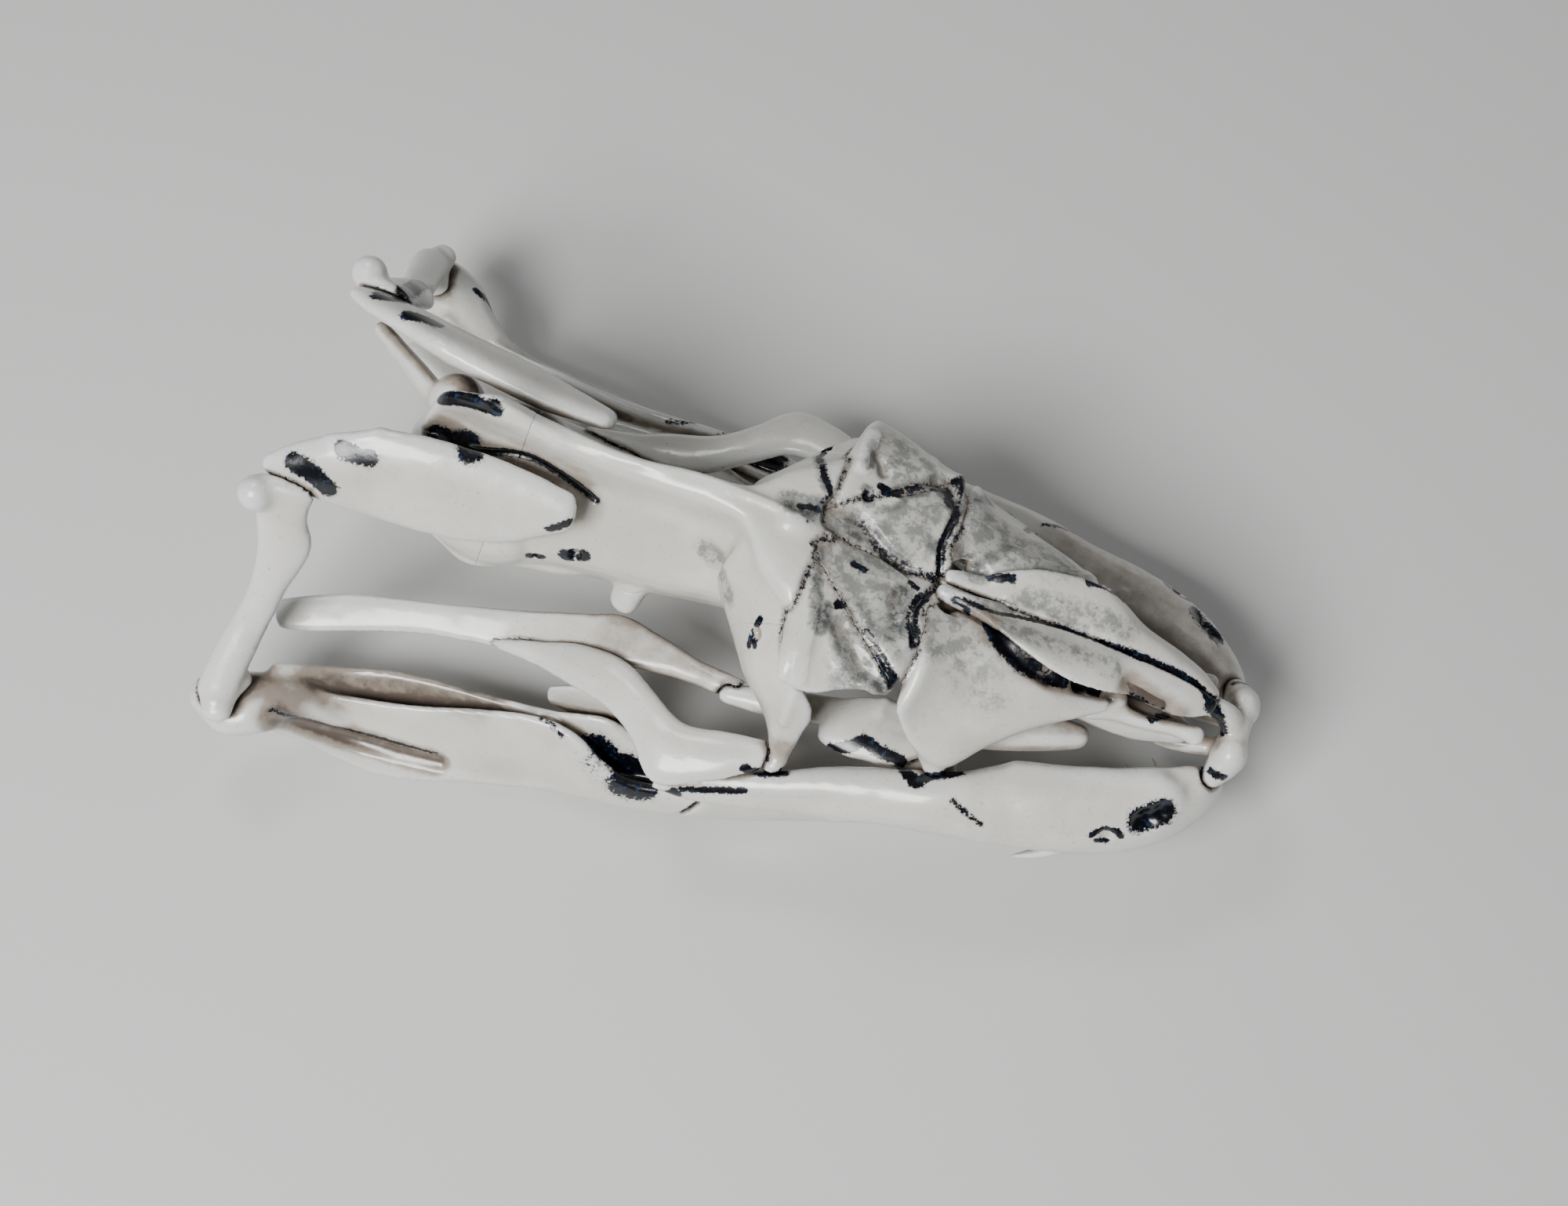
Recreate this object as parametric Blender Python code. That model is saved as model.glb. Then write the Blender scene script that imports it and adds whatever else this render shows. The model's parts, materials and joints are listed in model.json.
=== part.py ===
"""Skull of a large adult python, life size, as a still museum model.

The scene is in metres. Sizes and places below are in millimetres and become metres in put().
+X runs to the snout, +Y to the animal's left and +Z up. The skull lies on its two lower jaws.
Paired bones are shaped on the right, at negative Y, and mirrored to the left.
"""

import math
import random

import bmesh
import bpy
import numpy as np
from mathutils import Vector

MM = 0.001

# Driving sizes in millimetres
JAW_REAR = -68.8
SNOUT = 68.2
CREST_TOP = 45.8
JOINT_SPREAD = 37.2
FLOOR = -6.6
GAP = 0.32
MIDLINE_GAP = 0.16
CUT_BOX = 300.0
TOOTH_SEED = 11

# Places where several bones meet, on the right side
JAW_JOINT = (-64.5, -JOINT_SPREAD, 10.0)
SUPRATEMPORAL_TIP = (-61.0, -13.6, 38.2)

# The plane that parts the right bar behind the eye from the parietal: a point and its direction
BAR_TOP = ((4.0, -11.8, 29.0), (0.15, -0.95, -0.27))

# How a grown copy answers at a vertex: resistance to sideways moves, longest move in gaps
STIFFNESS = 0.02
LONGEST_MOVE = 3.0

# How finely a shape is drawn
SECTION_SIDES = 8
RINGS_PER_STATION = 1

BONE_COLOUR = (0.78, 0.74, 0.66, 1.0)
TOOTH_SIDES = 5


def clear_scene():
    for item in list(bpy.data.objects):
        bpy.data.objects.remove(item, do_unlink=True)
    for group in list(bpy.data.collections):
        bpy.data.collections.remove(group)


def new_collection(name):
    group = bpy.data.collections.new(name)
    bpy.context.scene.collection.children.link(group)
    return group


def put(name, vertices, faces, group):
    """Makes an object from points in millimetres."""
    mesh = bpy.data.meshes.new(name)
    mesh.from_pydata([tuple(c * MM for c in v) for v in vertices], [], faces)
    body = bpy.data.objects.new(name, mesh)
    group.objects.link(body)
    return body


def smooth_path(rows, per_station):
    """Adds rows between hand-chosen rows along a Catmull-Rom curve."""
    rows = np.array(rows, float)
    ends = np.vstack([2 * rows[0] - rows[1], rows, 2 * rows[-1] - rows[-2]])
    made = []
    for i in range(1, len(ends) - 2):
        p0, p1, p2, p3 = ends[i - 1 : i + 3]
        for k in range(per_station):
            t = k / per_station
            bend = 2 * p0 - 5 * p1 + 4 * p2 - p3
            turn = 3 * p1 - p0 - 3 * p2 + p3
            made.append(0.5 * (2 * p1 + (p2 - p0) * t + bend * t * t + turn * t**3))
    made.append(rows[-1])
    return np.array(made)


def unit(vector):
    return vector / max(np.linalg.norm(vector), 1e-9)


def section(centre, span, normal, thickness, bow, sides):
    """A flattened oval across the path. bow raises its middle along the normal."""
    ring = []
    for k in range(sides):
        angle = 2 * math.pi * k / sides
        along = math.cos(angle)
        across = math.copysign(abs(math.sin(angle)) ** 0.85, math.sin(angle))
        lift = across * thickness / 2 + bow * (1 - along * along)
        ring.append(centre + span * along + normal * lift)
    return ring


def blade(stations, group, sides=SECTION_SIDES, per_station=RINGS_PER_STATION):
    """A loft through stations of (one edge, other edge, thickness, bow), closed with round ends.

    With the path towards the snout and the inner edge first, the normal faces outwards.
    """
    rows = [list(a) + list(b) + [thickness, bow] for a, b, thickness, bow in stations]
    rows = smooth_path(rows, per_station)
    centres = (rows[:, 0:3] + rows[:, 3:6]) / 2
    tangents = np.gradient(centres, axis=0)
    rings = []
    for row, centre, tangent in zip(rows, centres, tangents):
        span = (row[0:3] - row[3:6]) / 2
        normal = unit(np.cross(tangent, span))
        rings.append(section(centre, span, normal, row[6], row[7], sides))
    for at, sign in ((0, -1), (-1, 1)):
        centre = np.mean(rings[at], axis=0)
        reach = 0.3 * min(rows[at][6], np.linalg.norm(rows[at][0:3] - rows[at][3:6]))
        step = unit(tangents[at]) * sign * reach
        cap = [centre + (p - centre) * 0.6 + step for p in rings[at]]
        rings.insert(0, cap) if at == 0 else rings.append(cap)
    return loft(rings, group)


def crested(stations, group):
    """A loft along X of teardrop sections about the midline.

    A station is (x, underside, widest level, half width, crest foot, crest half width, top).
    """
    rings = []
    for x, under, wide_z, half, foot, crest, top in stations:
        flank = (half + crest) / 2 + 0.1 * half, (wide_z + foot) / 2
        right = [
            (0.70 * half, under + 0.15 * (wide_z - under)),
            (half, wide_z),
            flank,
            (crest * 1.25, foot),
            (crest, foot + 0.8 * (top - foot)),
        ]
        ring = [(x, 0.0, under)] + [(x, y, z) for y, z in right]
        ring += [(x, 0.0, top)] + [(x, -y, z) for y, z in right[::-1]]
        rings.append([np.array(p) for p in ring])
    return loft(rings, group)


def loft(rings, group):
    """A closed body through rings with equal numbers of points."""
    sides = len(rings[0])
    vertices = [tuple(p) for ring in rings for p in ring]
    faces = [tuple(range(sides))[::-1]]
    for r in range(len(rings) - 1):
        for k in range(sides):
            here = r * sides + k
            beside = r * sides + (k + 1) % sides
            faces.append((here, beside, beside + sides, here + sides))
    faces.append(tuple((len(rings) - 1) * sides + k for k in range(sides)))
    body = put("piece", vertices, faces, group)
    face_outwards(body)
    return body


def rod(stations, group, sides=SECTION_SIDES, per_station=RINGS_PER_STATION):
    """A loft through stations of (centre, half width, half height)."""
    centres = np.array([s[0] for s in stations], float)
    tangents = np.gradient(centres, axis=0)
    rows = []
    for (centre, half_width, half_height), tangent in zip(stations, tangents):
        tangent = unit(tangent)
        up = np.array((0.0, 0.0, 1.0)) if abs(tangent[2]) < 0.9 else np.array((1.0, 0.0, 0.0))
        side = unit(np.cross(up, tangent)) * half_width
        rows.append((np.array(centre) + side, np.array(centre) - side, 2 * half_height, 0.0))
    return blade(rows, group, sides, per_station)


def knob(centre, radii, group):
    """An ellipsoid, for condyles, lobes and bulges."""
    mesh = bpy.data.meshes.new("knob")
    shape = bmesh.new()
    bmesh.ops.create_icosphere(shape, subdivisions=2, radius=1.0)
    for v in shape.verts:
        v.co = [(c + r * p) * MM for c, r, p in zip(centre, radii, v.co)]
    shape.to_mesh(mesh)
    shape.free()
    body = bpy.data.objects.new("knob", mesh)
    group.objects.link(body)
    return body


def tooth(root, tip, curl, radius, group):
    """A pointed cone that bends. curl moves its middle off the straight line."""
    root, tip = np.array(root, float), np.array(tip, float)
    middle = (root + tip) / 2 + np.array(curl, float)
    axis = unit(tip - root)
    side = unit(np.cross(axis, (0.0, 1.0, 0.0)))
    other = np.cross(axis, side)
    rings = []
    for t, width in ((0.0, 1.0), (0.55, 0.72)):
        centre = root * (1 - t) ** 2 + middle * 2 * t * (1 - t) + tip * t * t
        ring = []
        for k in range(TOOTH_SIDES):
            angle = 2 * math.pi * k / TOOTH_SIDES
            arm = side * math.cos(angle) + other * math.sin(angle)
            ring.append(centre + arm * radius * width)
        rings.append(ring)
    vertices = [tuple(p) for ring in rings for p in ring] + [tuple(tip)]
    faces = [tuple(range(TOOTH_SIDES))[::-1]]
    for k in range(TOOTH_SIDES):
        beside = (k + 1) % TOOTH_SIDES
        faces.append((k, beside, beside + TOOTH_SIDES, k + TOOTH_SIDES))
        faces.append((k + TOOTH_SIDES, beside + TOOTH_SIDES, len(vertices) - 1))
    body = put("tooth", vertices, faces, group)
    face_outwards(body)
    return body


def tooth_row(line, count, sink, lengths, lean, radius, group):
    """Teeth along a jaw. line has the gum points, lengths the first and last tooth's length.

    A length below zero points up. lean is how far the tip goes rearwards and inwards.
    """
    draw = random.Random(TOOTH_SEED)
    gum = smooth_path(line, 6)
    steps = np.linalg.norm(np.diff(gum, axis=0), axis=1)
    along = np.concatenate(([0.0], np.cumsum(steps)))
    row = []
    for i in range(count):
        share = (i + 0.5) / count
        where = share * along[-1] + draw.uniform(-0.3, 0.3)
        spot = np.array([np.interp(where, along, gum[:, axis]) for axis in range(3)])
        length = lengths[0] + (lengths[1] - lengths[0]) * share
        length *= draw.uniform(0.88, 1.08)
        down = -1.0 if length > 0 else 1.0
        root = spot - np.array((0.0, 0.0, down)) * sink
        tip = spot + np.array((-lean[0] * abs(length), lean[1], down * abs(length)))
        curl = (0.16 * abs(length), 0.0, 0.0)
        thick = radius * (0.7 + 0.3 * abs(length) / max(abs(x) for x in lengths))
        row.append(tooth(root, tip, curl, thick, group))
    return row


def face_outwards(body):
    shape = bmesh.new()
    shape.from_mesh(body.data)
    bmesh.ops.recalc_face_normals(shape, faces=shape.faces)
    if shape.calc_volume(signed=True) < 0:
        bmesh.ops.reverse_faces(shape, faces=shape.faces)
    shape.to_mesh(body.data)
    shape.free()


def apply_modifiers(body):
    """Puts the evaluated mesh in the place of the object's own."""
    graph = bpy.context.evaluated_depsgraph_get()
    mesh = bpy.data.meshes.new_from_object(body.evaluated_get(graph))
    body.modifiers.clear()
    body.data = mesh


def keep_largest(body):
    """Keeps the closed surface that encloses the most, and splits its faces into triangles."""
    shape = bmesh.new()
    shape.from_mesh(body.data)
    bmesh.ops.triangulate(shape, faces=shape.faces)
    left = set(shape.verts)
    islands = []
    while left:
        island = {left.pop()}
        edge_of = list(island)
        while edge_of:
            vertex = edge_of.pop()
            for edge in vertex.link_edges:
                other = edge.other_vert(vertex)
                if other in left:
                    left.discard(other)
                    island.add(other)
                    edge_of.append(other)
        islands.append(island)

    def enclosed(island):
        faces = {f for v in island for f in v.link_faces}
        return abs(sum(f.verts[0].co.dot(f.verts[1].co.cross(f.verts[2].co)) for f in faces))

    islands.sort(key=enclosed, reverse=True)
    for island in islands[1:]:
        bmesh.ops.delete(shape, geom=list(island), context="VERTS")
    shape.to_mesh(body.data)
    shape.free()


def combine(body, others, operation):
    """One Boolean of body with a collection of closed meshes, applied. The others are removed.

    Cuts take the manifold solver, because a grown copy can fold in a tight corner.
    """
    group = new_collection("operands")
    for other in others:
        for owner in list(other.users_collection):
            owner.objects.unlink(other)
        group.objects.link(other)
    step = body.modifiers.new("combine", "BOOLEAN")
    step.operation = operation
    step.operand_type = "COLLECTION"
    step.collection = group
    step.solver = "EXACT" if operation == "UNION" else "MANIFOLD"
    apply_modifiers(body)
    for other in list(group.objects):
        bpy.data.objects.remove(other, do_unlink=True)
    bpy.data.collections.remove(group)
    keep_largest(body)


def fuse(name, pieces):
    """Unites pieces into one named bone."""
    body = pieces[0]
    body.name = name
    body.data.name = name
    if len(pieces) > 1:
        combine(body, pieces[1:], "UNION")
    return body


def grown(body, group):
    """A copy of a bone with each face moved out by the gap, to cut its neighbour with."""
    shape = bmesh.new()
    shape.from_mesh(body.data)
    shape.normal_update()
    moves = []
    for vertex in shape.verts:
        corners = [corner for corner in vertex.link_loops if corner.face.calc_area() > 0]
        normals = np.array([corner.face.normal for corner in corners])
        weights = np.array([corner.calc_angle() for corner in corners])
        pull = normals.T @ weights
        spread = (normals.T * weights) @ normals + np.eye(3) * STIFFNESS * weights.sum()
        move = Vector(np.linalg.solve(spread, pull))
        if move.length > LONGEST_MOVE:
            move *= LONGEST_MOVE / move.length
        moves.append((vertex, move))
    for vertex, move in moves:
        vertex.co += move * (GAP * MM)
    mesh = bpy.data.meshes.new("cutter")
    shape.to_mesh(mesh)
    shape.free()
    cutter = bpy.data.objects.new("cutter", mesh)
    cutter.hide_render = True
    cutter.display_type = "WIRE"
    group.objects.link(cutter)
    return cutter


def cut_clear(body, cutter, cutters):
    """Cuts a bone clear of a neighbour with the neighbour's grown copy, which stays as it is."""
    combine(body, [copy_of(cutter, "cutter", cutters)], "DIFFERENCE")


def half_space(point, ahead, cutters):
    """A large box that has point on one face and lies ahead of it, to cut with."""
    mesh = bpy.data.meshes.new("half_space")
    shape = bmesh.new()
    bmesh.ops.create_cube(shape, size=CUT_BOX * MM)
    ahead = Vector(ahead).normalized()
    turn = Vector((1, 0, 0)).rotation_difference(ahead)
    centre = (Vector(point) + ahead * CUT_BOX / 2) * MM
    for v in shape.verts:
        v.co = centre + turn @ v.co
    shape.to_mesh(mesh)
    shape.free()
    box = bpy.data.objects.new("half_space", mesh)
    box.hide_render = True
    box.display_type = "WIRE"
    cutters.objects.link(box)
    return box


def end_at(body, point, ahead, cutters):
    """Ends a bone at the plane through point, keeping what lies behind it."""
    combine(body, [half_space(point, ahead, cutters)], "DIFFERENCE")


def part_along(front, rear, point, ahead, cutters):
    """Ends two bones at one plane through point, with the gap between them."""
    ahead = Vector(ahead).normalized()
    for body, way in ((rear, ahead), (front, -ahead)):
        end_at(body, Vector(point) - way * GAP / 2, way, cutters)


def copy_of(body, name, group):
    twin = bpy.data.objects.new(name, body.data.copy())
    group.objects.link(twin)
    return twin


def mirrored(body, name, group):
    """The same bone on the other side."""
    twin = copy_of(body, name, group)
    shape = bmesh.new()
    shape.from_mesh(twin.data)
    for v in shape.verts:
        v.co.y = -v.co.y
    bmesh.ops.reverse_faces(shape, faces=shape.faces)
    shape.to_mesh(twin.data)
    shape.free()
    return twin


def keep_right_half(body, cutters):
    """Ends a paired bone just short of the midline."""
    end_at(body, (0, -MIDLINE_GAP, 0), (0, 1, 0), cutters)


def braincase(group, cutters):
    """The closed box round the brain with the bars behind the eyes, modelled whole and parted."""
    pieces = [
        crested(
            [
                (-48.0, 20.0, 25.0, 3.4, 29.0, 1.6, 31.5),
                (-44.5, 17.4, 25.0, 7.6, 33.0, 1.3, 38.0),
                (-41.5, 15.8, 24.6, 9.6, 36.0, 1.0, CREST_TOP - 2.0),
                (-38.0, 14.8, 24.0, 10.4, 37.4, 1.0, CREST_TOP),
                (-32.5, 14.0, 23.4, 10.0, 37.2, 1.2, CREST_TOP),
                (-27.0, 13.6, 23.0, 8.8, 35.6, 1.3, 43.0),
                (-20.0, 13.8, 22.8, 7.9, 34.0, 1.5, 41.0),
                (-12.0, 14.4, 23.2, 7.7, 33.6, 1.6, 40.5),
                (-5.0, 15.4, 24.0, 7.4, 34.2, 1.8, 40.4),
                (-0.5, 16.4, 24.4, 7.4, 35.4, 2.6, 40.0),
                (3.4, 17.0, 24.4, 7.2, 35.6, 6.2, 39.4),
                (9.0, 17.4, 24.4, 7.0, 35.0, 9.4, 38.8),
            ],
            group,
        ),
        blade(
            [
                ((5.0, 1.4, 37.8), (5.0, -2.8, 37.8), 4.4, 0),
                ((10.2, 0.8, 37.4), (10.2, -2.2, 37.4), 3.6, 0),
            ],
            group,
        ),
        rod(
            [
                ((-8.0, 0, 17.0), 4.8, 2.6),
                ((4.0, 0, 16.8), 3.8, 2.2),
                ((16.0, 0, 16.8), 2.6, 2.0),
                ((27.0, 0, 16.6), 1.9, 1.8),
                ((36.0, 0, 16.4), 1.1, 1.2),
            ],
            group,
        ),
        knob((-47.4, 0, 21.2), (3.2, 3.4, 2.8), group),
    ]
    for side in (-1, 1):
        pieces += [
            knob((-43.6, side * 5.0, 32.0), (3.8, 4.2, 4.6), group),
            knob((-36.0, side * 7.8, 24.0), (7.4, 3.8, 5.6), group),
            blade(
                [
                    ((-43.0, side * 3.0, 33.0), (-43.0, side * 3.0, 24.0), 3.6, 0),
                    ((-50.0, side * 7.4, 34.0), (-50.0, side * 8.0, 27.4), 3.2, 0),
                    ((-57.6, side * 12.0, 34.2), (-57.6, side * 12.8, 30.8), 2.4, 0),
                ],
                group,
                sides=6,
            ),
            blade(
                [
                    ((9.4, side * 4.0, 37.2), (0.0, side * 3.0, 35.8), 3.0, 0),
                    ((10.4, side * 8.6, 36.2), (-2.8, side * 6.4, 30.0), 3.0, side * -0.6),
                    ((11.0, side * 13.6, 34.4), (-1.0, side * 8.9, 26.2), 2.8, side * -1.2),
                    ((12.6, side * 18.2, 31.2), (2.8, side * 12.6, 22.6), 2.8, side * -1.8),
                    ((14.4, side * 19.6, 26.2), (6.6, side * 16.5, 18.2), 2.6, side * -1.5),
                    ((12.9, side * 20.9, 19.6), (8.6, side * 18.9, 15.2), 2.6, side * -0.6),
                    ((11.8, side * 22.0, 15.2), (8.8, side * 21.0, 13.6), 2.6, 0),
                    ((11.6, side * 23.4, 13.6), (8.6, side * 23.2, 13.0), 3.0, 0),
                ],
                group,
            ),
            blade(
                [
                    ((-43.5, side * 5.0, 19.2), (-43.5, side * 8.8, 20.4), 2.4, 0),
                    ((-38.0, side * 5.0, 18.2), (-37.5, side * 11.4, 20.4), 2.8, 0),
                    ((-31.0, side * 4.0, 17.6), (-31.0, side * 9.2, 19.6), 2.8, 0),
                    ((-25.0, side * 4.0, 18.0), (-25.0, side * 8.6, 19.8), 2.6, 0),
                    ((-19.5, side * 3.0, 18.4), (-19.5, side * 6.8, 19.4), 2.0, 0),
                ],
                group,
            ),
            rod(
                [
                    ((-14.5, side * 4.0, 20.0), 3.2, 2.4),
                    ((-15.6, side * 6.4, 18.4), 2.4, 2.0),
                    ((-16.2, side * 8.4, 16.6), 2.0, 1.8),
                ],
                group,
                sides=6,
            ),
        ]
    whole = fuse("parietal", pieces)
    hole = knob((-49.6, 0, 26.0), (3.2, 2.5, 2.3), cutters)
    combine(whole, [hole], "DIFFERENCE")
    bar = copy_of(whole, "postorbital_right", group)
    (x, y, z), (ahead_x, ahead_y, ahead_z) = BAR_TOP
    part_along(bar, whole, (x, y, z), (ahead_x, ahead_y, ahead_z), cutters)
    end_at(whole, (x, -y - GAP / 2, z), (ahead_x, -ahead_y, ahead_z), cutters)
    occiput = copy_of(whole, "occiput", group)
    part_along(whole, occiput, (-34.0, 0, 27.0), (1.0, 0, -0.3), cutters)
    sphenoid = copy_of(whole, "basisphenoid", group)
    part_along(sphenoid, whole, (0, 0, 19.4), (0, 0, -1), cutters)
    return whole, occiput, sphenoid, bar


def frontal(group, cutters):
    """Half of the roof between the eyes with the wall below it, and the brow bone beside it."""
    roof = blade(
        [
            ((9.2, 1.0, 36.6), (10.2, -19.4, 33.6), 3.4, 0.8),
            ((13.0, 1.0, 34.4), (13.8, -19.2, 32.0), 3.4, 1.4),
            ((17.4, 1.0, 32.8), (18.0, -17.4, 32.0), 3.4, 1.6),
            ((21.5, 1.0, 31.6), (20.8, -16.5, 31.5), 3.2, 1.7),
            ((24.8, 1.0, 31.0), (22.8, -16.4, 31.0), 2.6, 1.8),
        ],
        group,
        sides=10,
    )
    brow = copy_of(roof, "supraorbital_right", group)
    part_along(roof, brow, (18.4, -10.9, 34.0), (0.64, 0.77, 0), cutters)
    wall = rod(
        [
            ((7.0, -1.0, 27.4), 6.0, 8.0),
            ((15.0, -1.0, 26.4), 5.4, 7.0),
            ((24.5, -1.0, 25.4), 4.4, 6.2),
        ],
        group,
        sides=10,
    )
    body = fuse("frontal_right", [roof, wall])
    keep_right_half(body, cutters)
    return body, brow


def nasal(group, cutters):
    """Half of the nose roof, thin and arched, with its share of the upright septum."""
    roof = blade(
        [
            ((25.6, 0.8, 31.2), (25.4, -1.8, 33.2), 1.8, 0),
            ((31.0, 0.8, 30.2), (31.0, -3.2, 33.6), 1.8, -0.2),
            ((37.0, 0.8, 29.6), (37.0, -5.8, 33.2), 1.8, 0),
            ((43.0, 0.8, 29.0), (43.0, -7.0, 31.2), 1.8, 0.4),
            ((47.0, 0.8, 28.4), (47.0, -6.6, 29.4), 1.8, 0.8),
            ((51.0, 0.8, 27.6), (51.0, -5.1, 26.6), 1.8, 0.9),
            ((55.0, 0.8, 26.6), (55.0, -4.5, 23.9), 1.8, 0.9),
            ((59.0, 0.8, 25.0), (59.0, -3.4, 22.4), 1.6, 0.6),
            ((62.0, 0.6, 23.0), (61.6, -2.0, 21.8), 1.3, 0.0),
        ],
        group,
    )
    septum = blade(
        [
            ((27.0, -0.7, 30.2), (27.0, -0.7, 24.0), 1.6, 0),
            ((35.0, -0.7, 29.4), (35.0, -0.7, 20.4), 1.6, 0),
            ((46.0, -0.7, 28.4), (46.0, -0.7, 19.4), 1.6, 0),
            ((57.0, -0.7, 25.6), (57.0, -0.7, 20.6), 1.6, 0),
        ],
        group,
        sides=6,
    )
    body = fuse("nasal_right", [roof, septum])
    keep_right_half(body, cutters)
    return body


def prefrontal(group):
    """The three-sided shield in front of the eye, its orbit wall and its foot on the maxilla."""
    shield = blade(
        [
            ((23.9, -3.2, 33.0), (24.6, -17.0, 28.6), 2.4, 1.8),
            ((28.0, -3.8, 32.4), (26.8, -17.8, 21.6), 2.4, 2.4),
            ((32.0, -4.4, 31.8), (31.4, -17.6, 16.8), 2.3, 2.4),
            ((36.0, -6.2, 30.4), (36.0, -14.0, 19.4), 2.2, 1.8),
            ((41.0, -7.2, 28.6), (41.0, -10.6, 22.0), 2.0, 1.0),
            ((45.5, -6.4, 26.4), (45.5, -8.0, 23.2), 1.8, 0.4),
            ((48.8, -5.2, 24.8), (48.8, -6.4, 23.6), 1.4, 0.0),
        ],
        group,
    )
    wall = blade(
        [
            ((25.6, -15.0, 30.2), (25.4, -6.0, 33.2), 2.4, 0),
            ((26.4, -16.8, 24.4), (26.0, -6.8, 26.0), 2.4, 0),
            ((28.4, -17.8, 18.8), (27.6, -10.0, 20.4), 2.6, 0),
            ((30.8, -19.2, 15.4), (29.8, -15.0, 15.8), 3.0, 0),
        ],
        group,
    )
    flange = blade(
        [
            ((27.6, -2.5, 30.9), (27.6, -7.8, 31.3), 1.8, 0),
            ((31.0, -2.6, 31.0), (31.0, -8.4, 31.0), 1.8, 0),
            ((37.0, -3.6, 30.4), (37.0, -8.8, 28.9), 1.8, 0),
            ((43.5, -4.6, 26.8), (43.5, -8.0, 25.8), 1.6, 0),
        ],
        group,
        sides=6,
    )
    return fuse("prefrontal_right", [shield, wall, flange])


def premaxilla(group):
    """The single bone at the tip of the snout, with a spine up to the nasals."""
    front = SNOUT - 2.0
    pieces = [
        rod(
            [
                ((64.6, -6.6, 13.6), 1.5, 1.5),
                ((front - 0.6, -4.4, 14.6), 2.2, 2.4),
                ((front - 0.4, 0.0, 15.4), 1.9, 2.6),
                ((front - 0.6, 4.4, 14.6), 2.2, 2.4),
                ((64.6, 6.6, 13.6), 1.5, 1.5),
            ],
            group,
        ),
        rod(
            [
                ((front - 0.6, 0, 16.0), 1.7, 1.6),
                ((64.0, 0, 19.4), 1.5, 1.5),
                ((60.6, 0, 21.4), 1.2, 1.2),
            ],
            group,
            sides=6,
        ),
    ]
    for side in (-1, 1):
        pieces += [
            knob((front - 0.2, side * 3.4, 15.2), (2.2, 2.8, 3.0), group),
            rod(
                [
                    ((65.0, side * 2.0, 13.4), 1.3, 1.3),
                    ((60.0, side * 2.6, 12.8), 1.3, 1.2),
                    ((56.5, side * 3.0, 12.6), 0.9, 0.9),
                ],
                group,
                sides=6,
            ),
        ]
        for y, length in ((1.6, 3.4), (4.2, 3.8)):
            root = (front - 0.4, side * y, 14.2)
            tip = (front - 2.0, side * y, 12.6 - length)
            pieces.append(tooth(root, tip, (0.5, 0, 0), 0.8, group))
    return fuse("premaxilla", pieces)


def vomer(group, cutters):
    """Half of the floor of the nose, close to the midline."""
    body = rod(
        [
            ((37.0, -1.8, 15.6), 1.5, 1.8),
            ((44.0, -2.4, 15.6), 2.2, 2.4),
            ((52.0, -2.8, 15.4), 2.6, 2.6),
            ((59.0, -2.4, 15.4), 1.6, 1.8),
        ],
        group,
    )
    body = fuse("vomer_right", [body])
    keep_right_half(body, cutters)
    return body


def septomaxilla(group, cutters):
    """The small lobed bone at the side of the nose opening."""
    pieces = [
        rod(
            [
                ((47.2, -5.4, 19.6), 1.0, 1.1),
                ((50.6, -4.3, 19.6), 1.2, 1.2),
                ((54.4, -4.4, 19.4), 0.9, 1.1),
                ((58.0, -3.9, 19.2), 0.9, 1.1),
                ((61.0, -3.8, 18.8), 1.4, 1.3),
            ],
            group,
        ),
        knob((49.6, -3.2, 20.9), (1.9, 1.7, 1.9), group),
    ]
    body = fuse("septomaxilla_right", pieces)
    keep_right_half(body, cutters)
    return body


def maxilla(group):
    """The upper jaw's outer bone, from the snout to below the eye, with its row of teeth."""
    bar = blade(
        [
            ((-3.4, -28.0, 10.4), (-4.8, -29.6, 8.6), 1.8, 0),
            ((3.0, -25.8, 12.2), (2.0, -29.0, 7.8), 3.2, 0),
            ((11.0, -24.0, 13.6), (10.0, -27.2, 8.0), 4.0, 0.2),
            ((18.5, -21.2, 14.8), (18.0, -25.8, 8.4), 4.6, 0.4),
            ((26.0, -19.2, 15.4), (26.0, -24.4, 8.6), 5.0, 0.7),
            ((33.0, -17.4, 15.8), (33.0, -23.5, 8.6), 5.2, 0.8),
            ((39.8, -13.8, 15.8), (40.0, -22.6, 8.4), 5.2, 0.9),
            ((47.6, -12.0, 15.8), (48.0, -21.0, 8.2), 5.2, 0.9),
            ((53.8, -9.8, 15.8), (55.3, -18.4, 8.0), 5.0, 0.9),
            ((58.6, -7.6, 15.4), (60.0, -15.5, 8.0), 4.6, 0.8),
            ((62.0, -5.8, 14.2), (64.0, -11.4, 8.2), 4.0, 0.5),
            ((63.8, -4.8, 12.6), (66.2, -7.4, 9.0), 3.0, 0.2),
        ],
        group,
    )
    shelf = rod(
        [
            ((29.0, -20.0, 12.0), 4.6, 1.5),
            ((29.5, -16.6, 12.0), 3.8, 1.3),
            ((30.0, -13.6, 12.2), 2.8, 1.1),
        ],
        group,
    )
    gum = [
        (-1.0, -27.8, 7.8),
        (16.0, -24.0, 7.4),
        (32.0, -21.4, 7.2),
        (48.0, -18.8, 7.2),
        (58.0, -14.8, 7.4),
        (65.0, -7.8, 8.4),
    ]
    teeth = tooth_row(gum, 15, 1.8, (3.8, 6.6), (0.55, 1.1), 1.2, group)
    splayed = (((49.2, -19.2, 8.4), (42.6, -21.2, 2.2)), ((23.8, -22.6, 8.4), (17.6, -24.2, 2.6)))
    teeth += [tooth(root, tip, (0, -0.6, -1.2), 1.25, group) for root, tip in splayed]
    return fuse("maxilla_right", [bar, shelf] + teeth)


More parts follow.
